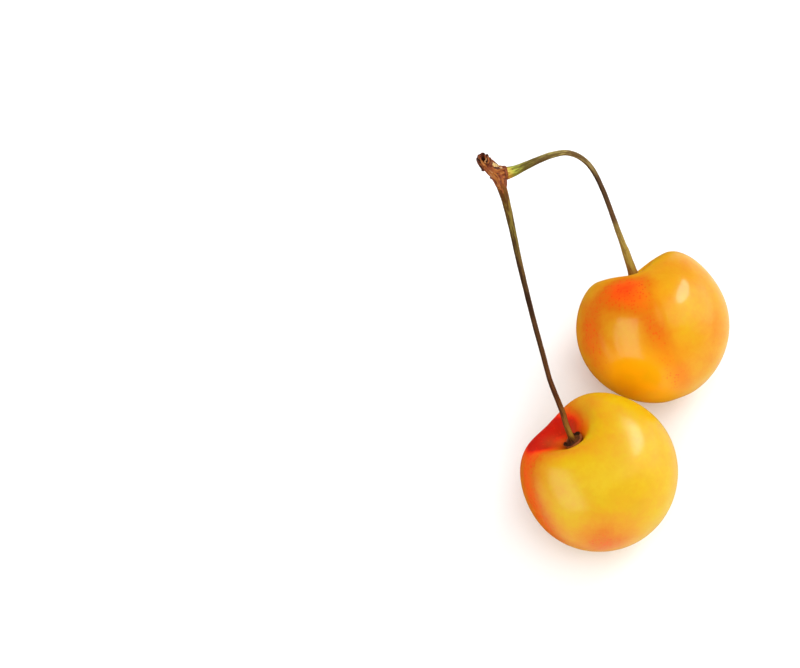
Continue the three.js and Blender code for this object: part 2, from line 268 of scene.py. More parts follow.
# Straps of bark over the spur: half width, thickness, tone, paleness, and the points each runs through. First
# come the long strands, then the scales round the cup, the cork steps, the knuckle and the front stalk's top.
STRAPS = (
    (0.19, 0.20, 0.60, 0.0, ((-19.77, 47.27, 34.51), (-19.51, 46.60, 34.59), (-19.06, 45.95, 34.65),
        (-18.44, 45.66, 33.73), (-17.70, 44.99, 33.75), (-16.89, 44.23, 33.76), (-16.32, 43.33, 33.52))),
    (0.23, 0.20, 0.40, 0.0, ((-18.52, 46.02, 33.94), (-17.95, 45.47, 33.88), (-17.30, 45.03, 33.92),
        (-16.56, 44.60, 33.88), (-16.02, 43.83, 33.63), (-15.90, 42.63, 33.43))),
    (0.27, 0.22, 0.62, 0.0, ((-18.82, 45.84, 33.24), (-18.10, 44.96, 33.28), (-17.46, 44.24, 33.41),
        (-16.89, 43.51, 33.36), (-16.41, 42.29, 33.37))),
    (0.23, 0.22, 0.34, 0.0, ((-19.70, 46.16, 34.53), (-19.09, 45.88, 33.33), (-18.50, 45.34, 32.93),
        (-17.93, 44.60, 32.91), (-17.36, 43.77, 32.89), (-16.87, 42.89, 32.59))),
    (0.26, 0.24, 0.10, 0.0, ((-20.10, 47.11, 34.53), (-19.97, 46.37, 34.33), (-19.62, 46.05, 33.64),
        (-19.11, 45.85, 32.83))),
    (0.18, 0.20, 0.54, 0.0, ((-19.02, 45.89, 33.82), (-18.35, 45.33, 33.47), (-17.62, 44.61, 33.59),
        (-16.97, 43.83, 33.56), (-16.60, 42.90, 33.28))),
    (0.18, 0.20, 0.52, 0.0, ((-17.95, 45.72, 33.96), (-17.21, 45.27, 33.99), (-16.47, 45.01, 33.88),
        (-15.74, 44.94, 33.85))),
    (0.24, 0.20, 0.06, 0.0, ((-18.19, 45.61, 33.76), (-17.62, 45.43, 33.95), (-16.96, 45.53, 33.96),
        (-16.43, 45.44, 33.93))),
    (0.36, 0.36, 0.22, 0.0, ((-18.04, 47.32, 34.55), (-17.94, 46.83, 34.17), (-18.01, 46.21, 34.10),
        (-18.23, 45.77, 33.87))),
    (0.26, 0.30, 0.50, 0.0, ((-18.44, 47.45, 34.53), (-18.29, 46.80, 34.68), (-18.36, 46.28, 34.73),
        (-18.60, 46.04, 34.68))),
    (0.12, 0.20, 0.10, 0.0, ((-18.02, 46.38, 34.37), (-18.39, 46.03, 34.49), (-18.68, 45.91, 34.17))),
    (0.11, 0.18, 0.74, 0.0, ((-18.74, 47.19, 34.58), (-18.65, 46.77, 34.66), (-18.89, 46.38, 34.68),
        (-18.70, 46.02, 34.69))),
    (0.30, 0.34, 0.16, 0.0, ((-19.66, 47.60, 34.45), (-19.39, 48.00, 34.48), (-19.06, 48.04, 34.49),
        (-18.80, 47.85, 34.48))),
    (0.26, 0.30, 0.16, 0.0, ((-18.83, 47.73, 34.49), (-18.50, 47.73, 34.56), (-18.21, 47.35, 34.56))),
    (0.17, 0.26, 0.52, 0.0, ((-19.06, 47.81, 34.48), (-18.77, 47.38, 34.58), (-18.81, 47.03, 34.56))),
    (0.24, 0.28, 0.34, 0.0, ((-20.11, 47.33, 34.46), (-19.86, 47.72, 34.48), (-19.42, 47.93, 34.45))),
    (0.16, 0.24, 0.58, 0.0, ((-19.93, 47.01, 34.53), (-19.78, 47.43, 34.56), (-19.50, 47.67, 34.54))),
    (0.22, 0.26, 0.12, 0.0, ((-20.13, 47.38, 34.45), (-20.15, 46.74, 34.51), (-19.96, 46.41, 33.94))),
    (0.15, 0.22, 0.34, 0.0, ((-19.35, 46.25, 34.64), (-19.12, 45.91, 34.30), (-18.68, 45.83, 33.59))),
    (0.15, 0.16, 0.72, 0.8, ((-17.50, 46.70, 33.93), (-17.51, 46.19, 34.01), (-17.72, 45.79, 33.97))),
    (0.15, 0.16, 0.72, 0.9, ((-17.22, 46.62, 33.80), (-17.23, 46.06, 33.96), (-17.42, 45.65, 33.95))),
    (0.15, 0.16, 0.72, 0.9, ((-16.93, 46.53, 33.63), (-16.92, 45.97, 33.86), (-17.09, 45.59, 33.92))),
    (0.14, 0.16, 0.66, 0.7, ((-16.63, 46.50, 33.25), (-16.61, 45.94, 33.71), (-16.76, 45.56, 33.85))),
    (0.20, 0.20, 0.50, 0.0, ((-17.05, 45.08, 33.90), (-16.30, 45.19, 33.97), (-15.48, 45.52, 33.78))),
    (0.27, 0.20, 0.58, 0.0, ((-16.80, 44.49, 33.81), (-16.14, 44.66, 33.83), (-15.42, 44.85, 33.70))),
    (0.27, 0.20, 0.38, 0.0, ((-16.40, 43.73, 33.64), (-15.90, 44.04, 33.66), (-15.42, 44.37, 33.33))),
    (0.22, 0.20, 0.46, 0.0, ((-16.61, 46.00, 33.66), (-16.02, 46.21, 33.42), (-15.41, 46.02, 33.56))),
    (0.20, 0.20, 0.34, 0.0, ((-15.41, 46.02, 33.56), (-15.36, 44.76, 33.65), (-15.40, 43.89, 33.07))),
    (0.18, 0.18, 0.46, 0.0, ((-16.71, 43.39, 33.41), (-16.40, 42.37, 33.39), (-16.12, 41.44, 33.56))),
    (0.18, 0.18, 0.36, 0.0, ((-15.89, 43.36, 33.47), (-15.73, 42.44, 33.43), (-15.59, 41.62, 33.57))),
    (0.17, 0.18, 0.46, 0.0, ((-17.02, 43.22, 32.85), (-16.62, 42.15, 33.11), (-16.31, 41.34, 33.39))),
    (0.15, 0.16, 0.36, 0.0, ((-16.16, 42.81, 33.45), (-15.98, 41.79, 33.59), (-15.84, 40.90, 33.69))),
)
# Knobs and beads of bark: middle, three half lengths, tone and paleness.
KNOBS = (
    # The first, a bead, has a near-palest tone as a painted highlight.
    ((-16.21, 45.62, 33.93), (0.26, 0.20, 0.16), 0.95, 0.0),
    ((-16.62, 45.62, 33.9), (0.20, 0.20, 0.16), 0.12, 0.0),
    ((-15.86, 45.68, 33.75), (0.20, 0.24, 0.2), 0.14, 0.0),
    ((-19.12, 45.78, 33.0), (0.34, 0.28, 0.3), 0.06, 0.0),
    ((-17.7, 44.43, 32.7), (0.36, 0.24, 0.26), 0.16, 0.0),
    ((-17.0, 43.45, 32.6), (0.30, 0.30, 0.26), 0.24, 0.0),
)

# ---------------------------------------------------------------- the camera and the lights

CAMERA_LENS = 114.12
CAMERA_TILT = 65.0
CAMERA_PLACE = (-0.034269, -0.176061, 0.402758)
# Directions point from the part. Lengths are metres, a light's size is its width and height, and a lean is
# in degrees.
WINDOW_DIRECTION = (0.50, 0.546, 0.651)
WINDOW_SIZE = (0.26, 0.46)
WINDOW_LEAN = 45.0
SOFTBOX_DIRECTION = (-0.665, -0.540, 0.520)
SOFTBOX_SIZE = (0.50, 1.10)
LIGHT_DISTANCE = 0.75
# The window's light on things is a share of its radiance, and so is each haze round its mirror image.
WINDOW_GLOW = 0.42
HAZES = (
    ((0.47, 0.10, 0.88), (0.45, 0.75), 0.08), ((0.47, 0.20, 0.86), (0.80, 0.90), 0.05),
    ((0.90, 0.33, 0.28), (0.80, 0.60), 0.10), ((0.88, 0.26, 0.38), (1.20, 0.95), 0.08),
)
CEILING_DIRECTION = (0.05, -0.25, 0.95)
CEILING_SIZE = (0.5, 0.5)
ROOM_LEAN = (0.2, -0.22, 0.0)
SEEN_SIDE = (0.95, 0.3, 0.0)
# The mirrored room: its brightness by height, its darkest colour, and where from the side that sets in.
ROOM_SEEN = ((0.0, 0.4), (0.35, 0.15), (0.8, 0.04))
ROOM_DARK = (0.02, 0.005, 0.002, 1.0)
ROOM_DARK_SPAN = (-0.5, 0.3)
ROOM_DARK_SHARE = 0.9
TABLE_HALF = 4.0
PAPER_SHADE = 0.985
# The mirrored table: warm and dark round the fruits, up to the first distance from a place, and light past
# the second.
DARK_PLACE = (-0.008, -0.007)
DARK_REACH = (0.021, 0.031)
DARK_TABLE = (0.08, 0.03, 0.01, 1.0)
LIGHT_TABLE = (0.75, 0.72, 0.72, 1.0)
NEAREST_SEEN = 0.01


# ================================================================ shapes as arrays


def bell(value, reach):
    """A soft hump: exp(-square), where the square is that of the value as a share of the reach."""
    return np.exp(-((value / reach) ** 2))


def ease(value, start, length):
    """From zero at a start up to one after a length, in a straight line."""
    return np.clip((value - start) / length, 0, 1)


def turned_from(around, middle):
    """Angles measured from a middle one, between minus and plus half a turn."""
    return np.mod(around + math.pi - middle, 2 * math.pi) - math.pi


def sphere(down, around):
    """Points of the unit sphere at angles down from its pole and around it."""
    return np.stack([np.sin(down) * np.cos(around), np.sin(down) * np.sin(around), np.cos(down)], -1)


def smooth_curve(points, steps=40):
    """A centripetal Catmull-Rom curve through the points. Each span is a cubic whose end slopes come from the
    neighbouring points, spaced by the fourth root of their squared distances, and the two end points are
    continued in a straight line."""
    points = np.asarray(points, float)
    run = np.vstack([2 * points[0] - points[1], points, 2 * points[-1] - points[-2]])
    gap = np.maximum((np.diff(run, axis=0) ** 2).sum(1) ** 0.25, 1e-4)[:, None]
    before, start, end, after = run[:-3], run[1:-2], run[2:-1], run[3:]
    gap0, gap1, gap2 = gap[:-2], gap[1:-1], gap[2:]
    slope0 = ((start - before) / gap0 - (end - before) / (gap0 + gap1) + (end - start) / gap1) * gap1
    slope1 = ((end - start) / gap1 - (after - start) / (gap1 + gap2) + (after - end) / gap2) * gap1
    t = (np.arange(steps) / steps)[None, :, None]
    start, end, slope0, slope1 = (part[:, None, :] for part in (start, end, slope0, slope1))
    square = -3 * start + 3 * end - 2 * slope0 - slope1
    cube = 2 * start - 2 * end + slope0 + slope1
    curve = start + slope0 * t + square * t**2 + cube * t**3
    return np.vstack([curve.reshape(-1, points.shape[1]), points[-1:]])


def distances(curve):
    """The distance of each point of a polyline from its start."""
    return np.concatenate([[0.0], np.cumsum(np.linalg.norm(np.diff(curve, axis=0), axis=1))])


def sample(curve, at):
    """Points of a polyline at the distances given, continued straight past both ends."""
    reach = distances(curve)
    inside = np.clip(at, 0, reach[-1])
    points = np.stack([np.interp(inside, reach, curve[:, axis]) for axis in range(curve.shape[1])], -1)
    past = (at - inside)[..., None]
    first = unit(curve[1] - curve[0])
    last = unit(curve[-1] - curve[-2])
    return points + np.where(past < 0, past * first, past * last)


def unit(vectors):
    """Vectors scaled to length one."""
    return vectors / np.maximum(np.linalg.norm(vectors, axis=-1, keepdims=True), 1e-12)


def around_path(curve, along, turn, radius, across=None):
    """Points around a path: the path's point at each distance, plus the radius times (cos turn * side +
    sin turn * lift). The side is level, or as near to the direction across as the path allows, and the lift
    is square to it and to the path."""
    step = 0.3
    middle = sample(curve, along)
    tangent = unit(sample(curve, along + step) - sample(curve, along - step))
    if across is None:
        side = unit(np.cross(tangent, UP))
    else:
        side = unit(np.array(across) - (tangent @ np.array(across))[..., None] * tangent)
    lift = np.cross(side, tangent)
    return middle + radius[..., None] * (np.cos(turn)[..., None] * side + np.sin(turn)[..., None] * lift)


def turns(count):
    """Equal steps around a full turn, in radians."""
    return np.arange(count) * (2 * math.pi / count)


def poles_apart(count):
    """Equal steps over half a turn from the lower pole to the upper, each in the middle of its share."""
    return math.pi * (1 - (np.arange(count) + 0.5) / count)


def ripples(turn, along, table):
    """The sum of waves round and along a stem: for each, its share times the cosine of its count times the
    turn, plus its twist times the distance along, plus its start."""
    return sum(share * np.cos(count * turn + twist * along + start) for count, twist, start, share in table)


def waves(directions, count, pitch, seed):
    """Soft lumps on a unit sphere: the mean of count sine waves, each across a random direction, with about
    pitch radians of phase from one side of the sphere to the other."""
    random = np.random.default_rng(seed)
    across = unit(random.normal(size=(count, 3))) * pitch
    phase = random.uniform(0, 2 * math.pi, count)
    return np.sin(directions @ across.T + phase).mean(-1)


def shell(rows, start, end, **marks):
    """A closed skin: a grid of points whose second direction runs around, closed by one point at each end.
    Each mark is a value or a vector for every grid point, or one value for all of them."""
    grid_marks = {}
    for name, mark in marks.items():
        mark = np.asarray(mark, float)
        size = rows.shape[:2] + (mark.shape[2:] if mark.ndim > 2 else ())
        mark = np.broadcast_to(mark, size)
        flat = mark.reshape((-1,) + size[2:])
        grid_marks[name] = np.concatenate([mark[0].mean(0)[None], flat, mark[-1].mean(0)[None]])
    points = np.vstack([start, rows.reshape(-1, 3), end])
    return {"points": points, "shape": rows.shape[:2], "marks": grid_marks}


def shell_faces(points, shape):
    """Quads over the grid and a fan of triangles at each end, turned so that the enclosed volume is
    positive."""
    rows, around = shape
    cell = np.arange((rows - 1) * around).reshape(rows - 1, around)
    here = 1 + cell
    beside = 1 + (cell // around) * around + (cell + 1) % around
    quads = np.stack([here, beside, beside + around, here + around], -1).reshape(-1, 4)
    rim = np.arange(around)
    following = (rim + 1) % around
    last = 1 + (rows - 1) * around
    first_fan = np.stack([np.zeros_like(rim), 1 + following, 1 + rim], -1)
    last_fan = np.stack([last + rim, last + following, np.full_like(rim, last + around)], -1)
    triangles = np.vstack([first_fan, last_fan])
    corners = np.vstack([quads[:, [0, 1, 2]], quads[:, [0, 2, 3]], triangles])
    a, b, c = (points[corners[:, k]] for k in range(3))
    if np.einsum("ij,ij->i", a, np.cross(b, c)).sum() < 0:
        quads = quads[:, ::-1]
        triangles = triangles[:, ::-1]
    return quads, triangles


def write_mesh(name, shells, shift):
    """One mesh object from closed shells. Points are moved by the shift and turned from millimetres into
    metres; every mark becomes a point attribute."""
    points, loops, sizes, marks = [], [], [], {}
    count = 0
    for part in shells:
        quads, triangles = shell_faces(part["points"], part["shape"])
        points.append(part["points"])
        loops += [(quads + count).ravel(), (triangles + count).ravel()]
        sizes += [np.full(len(quads), 4), np.full(len(triangles), 3)]
        for mark, values in part["marks"].items():
            marks.setdefault(mark, []).append(values)
        count += len(part["points"])
    points = (np.vstack(points) + shift) * MM
    loops = np.concatenate(loops)
    sizes = np.concatenate(sizes)
    mesh = bpy.data.meshes.new(name)
    mesh.vertices.add(len(points))
    mesh.vertices.foreach_set("co", points.ravel())
    mesh.loops.add(len(loops))
    mesh.loops.foreach_set("vertex_index", loops)
    mesh.polygons.add(len(sizes))
    mesh.polygons.foreach_set("loop_start", np.concatenate([[0], np.cumsum(sizes)[:-1]]))
    mesh.polygons.foreach_set("use_smooth", np.ones(len(sizes), bool))
    mesh.update(calc_edges=True)
    mesh.validate()
    for mark, values in marks.items():
        values = np.concatenate(values)
        vector = values.ndim > 1
        layer = mesh.attributes.new(mark, "FLOAT_VECTOR" if vector else "FLOAT", "POINT")
        layer.data.foreach_set("vector" if vector else "value", values.ravel())
    made = bpy.data.objects.new(name, mesh)
    bpy.context.scene.collection.objects.link(made)
    return made


def finish_piece(made, material, node):
    """Gives a piece its finish, and lets it stand for the CAD node that it dresses."""
    made.data.materials.append(material)
    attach(made, "root")
    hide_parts(node)


# ================================================================ fruit shape


def fruit_axes(fruit):
    """The fruit's own three directions as the rows of a matrix: two across it, and the one to its stalk."""
    azimuth, elevation, twist = (math.radians(fruit[key]) for key in ("azimuth", "elevation", "twist"))
    axis = np.array([
        math.cos(elevation) * math.cos(azimuth),
        math.cos(elevation) * math.sin(azimuth),
        math.sin(elevation),
    ])
    level = unit(np.cross(axis, UP))
    across = level * math.cos(twist) + np.cross(axis, level) * math.sin(twist)
    return np.stack([across, np.cross(axis, across), axis])


def fruit_points(fruit, radius, down, around):
    """Points of a fruit at angles down from the stalk and around it. Its height is a cosine; above the middle
    a bell-shaped hollow is taken out at the stalk, and four bumps raise or dip the shoulders: a rise on both
    broad sides, a lean to one of them, and a dip on the suture's side and on the back. Below the middle the
    girth tapers a little, and a bell-shaped dent holds the scar of the flower. Soft lumps and a fine suture
    line follow the surface and fade out at both poles, and the underside is eased onto the floor."""
    up, out = np.cos(down), np.sin(down)
    back_turn = turned_from(around, math.radians(fruit["back_turn"]))
    front_turn = turned_from(around, math.pi / 2)
    shoulder = (
        fruit["shoulder_rise"] * np.cos(around) ** 2
        + fruit["shoulder_lean"] * np.cos(around)
        - fruit["suture_dip"] * bell(front_turn, SUTURE_SPREAD)
        - fruit["back_dip"] * bell(back_turn, fruit["back_spread"])
    )
    above = (
        fruit["top_height"] * up
        - fruit["hollow_depth"] * bell(out, fruit["hollow_width"])
        + 4 * out**2 * up**2 * shoulder
    )
    below = fruit["bottom_height"] * up + SCAR_DEPTH * bell(out, SCAR_WIDTH)
    girth = 1 - GIRTH_TAPER * np.minimum(up, 0) ** 2
    own = np.stack([
        out * np.cos(around) * girth,
        out * np.sin(around) * girth * fruit["thickness"],
        np.where(up > 0, above, below),
    ], -1) * radius
    heading = sphere(down, around)
    groove = SUTURE_DEPTH * suture_line(fruit, down, around) * np.clip(out * 2.5 - 1, 0, 1)
    lumps = LUMP_HEIGHT * waves(heading, *LUMP_WAVES, fruit["lump_seed"]) * np.clip(out * 3, 0, 1)
    own = own + heading * (lumps - groove)[..., None]
    points = own @ fruit_axes(fruit) + np.array(fruit["centre"])
    height = points[..., 2]
    points[..., 2] = (height + np.sqrt(height**2 + REST_ROUNDING**2)) / 2
    return points


def suture_line(fruit, down, around):
    """How near the skin is to the suture: a bell across the line, by the angle to it."""
    off_line = np.degrees(turned_from(around, math.radians(fruit["suture_side"]))) * np.sin(down)
    return bell(off_line, SUTURE_WIDTH)


def patches(down, around, table):
    """The sum of soft oval patches on the skin. Each is an amount times exp(-square), where the square is
    that of the angle from the patch's middle, measured down and round in shares of its two reaches."""
    heading = sphere(down, around)
    total = np.zeros(down.shape)
    for from_stalk, round_stalk, reach_down, reach_round, amount in table:
        a, b = math.radians(from_stalk), math.radians(round_stalk)
        middle = sphere(a, b)
        downward = np.array([math.cos(a) * math.cos(b), math.cos(a) * math.sin(b), -math.sin(a)])
        roundward = np.array([-math.sin(b), math.cos(b), 0.0])
        x, y, z = heading @ downward, heading @ roundward, heading @ middle
        flat = np.maximum(np.hypot(x, y), 1e-9)
        angle = np.degrees(np.arctan2(flat, z)) / flat
        total += amount * np.exp(-((x * angle / reach_down) ** 2) - (y * angle / reach_round) ** 2)
    return total


def fruit_shell(key, radius):
    """The closed skin of one fruit, from its tip to its stalk, with its marks."""
    fruit = FRUITS[key]
    down, around = np.meshgrid(poles_apart(FRUIT_ROWS), turns(FRUIT_AROUND), indexing="ij")
    rows = fruit_points(fruit, radius, down, around)
    poles = fruit_points(fruit, radius, np.array([math.pi, 0.0]), np.zeros(2))
    from_stalk = np.degrees(down)
    # Painted light: the glow mark lays lit flesh over shade, and the socket colour is kept off it.
    glow = np.clip(patches(down, around, PAINTED_GLOW[key]), 0, 1)
    return shell(
        rows, poles[0], poles[1],
        ripeness=RIPENESS_BASE[key] + patches(down, around, RIPENESS[key]),
        deepening=patches(down, around, DEEPENING[key]),
        bruise=patches(down, around, BRUISE[key]),
        glow=glow,
        suture=suture_line(fruit, down, around) * np.sin(down) ** 2,
        scar=bell(180 - from_stalk, SCAR_REACH),
        socket=bell(from_stalk, SOCKET_REACH) * (1 - glow),
        shelter=bell(from_stalk, SHELTER_REACH),
    )


def layout_shift():
    """The step from the layout to the CAD model's frame: from the middle of the front fruit's own box to the
    middle of its node's box."""
    fruit = FRUITS["front"]
    rows, columns = LAYOUT_GRID
    down, around = np.meshgrid(np.linspace(0, math.pi, rows), turns(columns), indexing="ij")
    points = fruit_points(fruit, bpy.context.scene.cherry_settings.front_radius / MM, down, around)
    low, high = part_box("cherry_front")
    node_middle = (np.array(low) + np.array(high)) / 2 / MM
    step = node_middle - (points.min((0, 1)) + points.max((0, 1))) / 2
    return np.array([step[0], step[1], 0.0])


# ================================================================ stalk and spur shapes


def stalk_path(key, radius):
    """The line of a stalk: out of the hollow of its fruit along the fruit's axis, and then its route."""
    fruit = FRUITS[key]
    axis = fruit_axes(fruit)[2]
    depth = (fruit["top_height"] - fruit["hollow_depth"]) * radius + STALKS[key]["seat"]
    start = np.array(fruit["centre"]) + axis * depth
    return smooth_curve([start, start + axis * COLLAR_LIFT, *STALKS[key]["route"]])


def stalk_shell(key, radius, ridge):
    """A stalk: its profile of distances and radii, made smooth and carried round its line. Lengthwise ridges,
    which turn slowly, and a few swellings are added to the radius, and the collar's rim is broken into lumps
    that rise and dip."""
    stalk = STALKS[key]
    path = stalk_path(key, radius)
    length = distances(path)[-1]
    profile = smooth_curve([*COLLAR, *stalk["shaft"], (length, stalk["end_radius"])], 24)
    reach = distances(profile)
    count = int(reach[-1] / STALK_ROW_STEP)
    even = np.linspace(0, reach[-1], count + 1)[1:]
    along = np.interp(even, reach, profile[:, 0])[:, None]
    girth = np.interp(even, reach, profile[:, 1])[:, None]
    turn = turns(STALK_AROUND)[None, :]
    place = even[:, None]
    on_stem = ease(place, *STEM_START)
    on_collar = 1 - ease(place, *COLLAR_END)
    ridges = ripples(turn, along, STALK_RIDGES)
    swelling = 0.5 * np.sin(along * 0.9 + 1.3) * np.sin(along * 0.37) + 0.3 * np.sin(along * 2.3 + turn)
    lump = ripples(turn, along, stalk["lumps"])
    rough = np.sin(9 * turn + 3 * along) * 0.25 + np.sin(14 * turn - 5 * along + 2) * 0.2
    girth = girth * (1 + on_stem * (ridge * ridges + STALK_SWELLING * swelling))
    girth = girth + on_collar * COLLAR_LUMP * (lump + rough) * ease(girth, 0.8, 1.0)
    rise = on_collar * COLLAR_LUMP * COLLAR_RISE * (lump + rough) * ease(girth, 1.0, 0.5)
    along_all = np.broadcast_to(along, girth.shape) + rise
    turn_all = np.broadcast_to(turn, girth.shape)
    rows = around_path(path, along_all, turn_all, girth)
    ends = sample(path, np.array([0.0, length]))
    rim_at, rim_reach = COLLAR_RIM
    underside_end, underside_ease = COLLAR_SHADED_UNDERSIDE
    rim = bell(place - rim_at, rim_reach) * np.clip(0.65 + lump * 1.4, 0, 1)
    return shell(
        rows, ends[0], ends[1],
        grain_place=np.stack([np.cos(turn_all), np.sin(turn_all), along_all], -1),
        along=along_all / length,
        # The rim mark also darkens the collar's underside as painted shade.
        rim=rim + on_collar * ease(underside_end - place, 0.0, underside_ease),
        collar=on_collar * np.ones_like(turn),
    )


def turned(route, profile, row_count, turn_count, relief, tone, hollow=0.0):
    """A closed skin: a profile of distances and radii, made smooth and carried round a route. The relief, a
    function of distance, turn and radius, is added to the radius and raises the tone that marks the skin, so
    that its cracks are darker as painted shade. Past the share hollow of the profile lies the inside of a
    hollow, which is painted in shade."""
    path = smooth_curve(route)
    curve = smooth_curve(profile, 24)
    reach = distances(curve)
    even = np.linspace(0, reach[-1], row_count + 2)[1:-1]
    along = np.interp(even, reach, curve[:, 0])[:, None]
    girth = np.interp(even, reach, curve[:, 1])[:, None]
    turn = turns(turn_count)[None, :]
    height = relief(along, turn, girth)
    girth = girth + height * np.clip(girth * 2, 0, 1)
    along = np.broadcast_to(along, girth.shape)
    turn = np.broadcast_to(turn, girth.shape)
    ends = sample(path, np.array([profile[0][0], profile[-1][0]]))
    place = np.stack([girth * np.cos(turn), girth * np.sin(turn), along], -1)
    inside = np.clip((even[:, None] / reach[-1] - hollow) * 12, 0, 1) if hollow else 0.0
    return shell(
        around_path(path, along, turn, girth, SPUR_ACROSS), ends[0], ends[1],
        # Painted shade: the tone drops in the cracks of the relief.
        tone=tone + 1.5 * height, pale=0.0, hollow=inside, grain_place=place,
    )


def bark_relief(along, turn, girth):
    """Height of the bark: lengthwise strands, knots and fine cracks."""
    strands = np.abs(np.sin(5 * turn + 0.5 * along + 0.5 * np.sin(along * 2))) - 0.5
    knots = 0.5 * np.sin(3 * turn + 2.1 * along) + 0.35 * np.sin(5 * turn - 3.3 * along + 1)
    cracks = np.minimum(np.abs(np.sin(11 * turn + 1.3 * np.sin(2.3 * along + turn))), 0.4) - 0.3
    return 0.08 * strands + 0.06 * knots + 0.1 * cracks


def cup_relief(along, turn, girth):
    """Height of the cup's wall: upright ribs, knots, and a hollow that is narrow and off its middle."""
    ribs = np.abs(np.sin(4.5 * turn + 0.4 * np.sin(3 * along))) - 0.6
    knots = 0.5 * np.sin(3 * turn + 3.1 * along) + 0.35 * np.sin(7 * turn - 3.3 * along + 1)
    inner = np.clip((0.75 - girth) / 0.2, 0, 1)
    return 0.1 * ribs + 0.08 * knots * (1 - inner) + inner * 0.12 * np.cos(2 * (turn - CUP_SLOT))


def spur_spine():
    """Points along the middle of the spur's trunk and of its cup."""
    trunk = sample(smooth_curve(SPUR_ROUTE), np.linspace(0, SPINE_LENGTH, 60))
    return np.vstack([trunk, np.linspace(*CUP_ROUTE, 12)])


def strap(half_width, thickness, tone, pale, route):
    """A strap of bark through the points of a route: a tube whose section is a flat ellipse, its short axis
    turned away from the spur's own line, with blunt ends, a wavy width, and painted shade: darker at its
    edges and on its inner side, lighter on its outer side."""
    curve = smooth_curve(route, 16)
    reach = distances(curve)[-1]
    at = (np.arange(STRAP_ROWS) + 0.5) / STRAP_ROWS * reach
    middle = sample(curve, at)
    tangent = unit(sample(curve, at + 0.1) - sample(curve, at - 0.1))
    spine = spur_spine()
    near = np.exp(-((middle[:, None] - spine[None]) ** 2).sum(-1) / 0.5)
    away = unit(middle - (near @ spine) / near.sum(1)[:, None])
    across = unit(np.cross(tangent, away))
    away = np.cross(across, tangent)
    t = (at / reach)[:, None]
    section = turns(STRAP_AROUND)[None, :]
    ends = np.sqrt(np.minimum(1, np.minimum(t, 1 - t) * reach / half_width / 1.5))
    sway = np.sin(at * 2.7 + reach * 5)[:, None]
    wide = half_width * ends * (1 + 0.18 * sway + 0.1 * np.sin(at * 7.1)[:, None]) * np.cos(section)
    tall = thickness / 2 * ends * (1 + 0.2 * np.sin(at * 5.3 + 1)[:, None]) * np.sin(section)
    wide = wide + 0.25 * half_width * sway * ends
    rows = middle[:, None] + wide[..., None] * across[:, None] + tall[..., None] * away[:, None]
    # Painted light and shade: lighter on the strap's outer side, darker at its edges and inner side.
    shade = 0.14 * np.sin(section) - 0.2 * np.cos(section) ** 4 + 0.06 * sway
    place = np.stack([wide, tall, np.broadcast_to(at[:, None] + reach * 3, wide.shape)], -1)
    return shell(rows, curve[0], curve[-1], tone=tone + shade, pale=pale, hollow=0.0, grain_place=place)


def knob(middle, halves, tone, pale, seed):
    """A knobbly ellipsoid: the unit sphere with soft waves on it, stretched by its three half lengths."""
    down, around = np.meshgrid(poles_apart(KNOB_ROWS), turns(KNOB_AROUND), indexing="ij")
    heading = sphere(down, around)
    bumps = KNOB_BUMPS * waves(heading, *KNOB_WAVES, seed)
    bumpy = heading * (1 + bumps)[..., None] * np.array(halves)
    middle, pole = np.array(middle), np.array([0.0, 0.0, halves[2]])
    marks = {"tone": tone, "pale": pale, "hollow": 0.0, "grain_place": bumpy}
    return shell(bumpy + middle, middle - pole, middle + pole, **marks)


def spur_shells():
    """Every piece of the spur in one mesh: core, knuckle, cup, straps of bark and knobs."""
    shells = [
        turned(SPUR_ROUTE, SPUR_SHAFT, 120, 110, bark_relief, 0.30),
        turned(KNUCKLE_ROUTE, KNUCKLE_SHAFT, 60, 90, bark_relief, 0.36),
        turned(CUP_ROUTE, CUP_SHAFT, 110, 110, cup_relief, 0.22, hollow=0.72),
    ]
    shells += [strap(*row) for row in STRAPS]
    for seed, (middle, halves, tone, pale) in enumerate(KNOBS):
        shells.append(knob(middle, halves, tone, pale, seed + 3))
    return shells


# ================================================================ shader helpers


def srgb(red, green, blue):
    """A display colour of 0 to 255 as scene-linear red, green, blue and alpha."""
    share = np.array([red, green, blue]) / 255
    linear = np.where(share <= 0.04045, share / 12.92, ((share + 0.055) / 1.055) ** 2.4)
    return (*(float(part) for part in linear), 1.0)


def put(tree, kind, inputs=None, **settings):
    """Adds a node, and fills each of its named inputs with a value or with a link."""
    made = tree.nodes.new(kind)
    for name, value in settings.items():
        setattr(made, name, value)
    for name, value in (inputs or {}).items():
        socket = made.inputs[name]
        if isinstance(value, bpy.types.NodeSocket):
            tree.links.new(value, socket)
        else:
            socket.default_value = value
    return made


def calculate(tree, operation, first, second, third=0.0, clamp=False):
    """A Math node's result."""
    made = put(tree, "ShaderNodeMath", {0: first, 1: second, 2: third}, operation=operation, use_clamp=clamp)
    return made.outputs[0]


def between(tree, value, low, high, to_low=0.0, to_high=1.0):
    """A value eased from one span to another, and held at its ends."""
    made = put(
        tree, "ShaderNodeMapRange",
        {"Value": value, "From Min": low, "From Max": high, "To Min": to_low, "To Max": to_high},
        interpolation_type="SMOOTHSTEP",
    )
    return made.outputs["Result"]


def mix(tree, factor, first, second):
    """Two colours mixed by a factor."""
    return put(tree, "ShaderNodeMix", {0: factor, 6: first, 7: second}, data_type="RGBA").outputs[2]


def lay_over(tree, colour, mask, share, over):
    """A colour with another laid over it where a mask is, at a share of the mask's strength."""
    return mix(tree, calculate(tree, "MULTIPLY", mask, share), colour, over)


def ramp(tree, factor, stops):
    """A colour ramp with the stops given as (place, colour)."""
    made = put(tree, "ShaderNodeValToRGB", {"Fac": factor})
    elements = made.color_ramp.elements
    while len(elements) < len(stops):
        elements.new(1.0)
    for element, (position, colour) in zip(elements, stops):
        element.position = position
        element.color = colour
    return made.outputs["Color"]


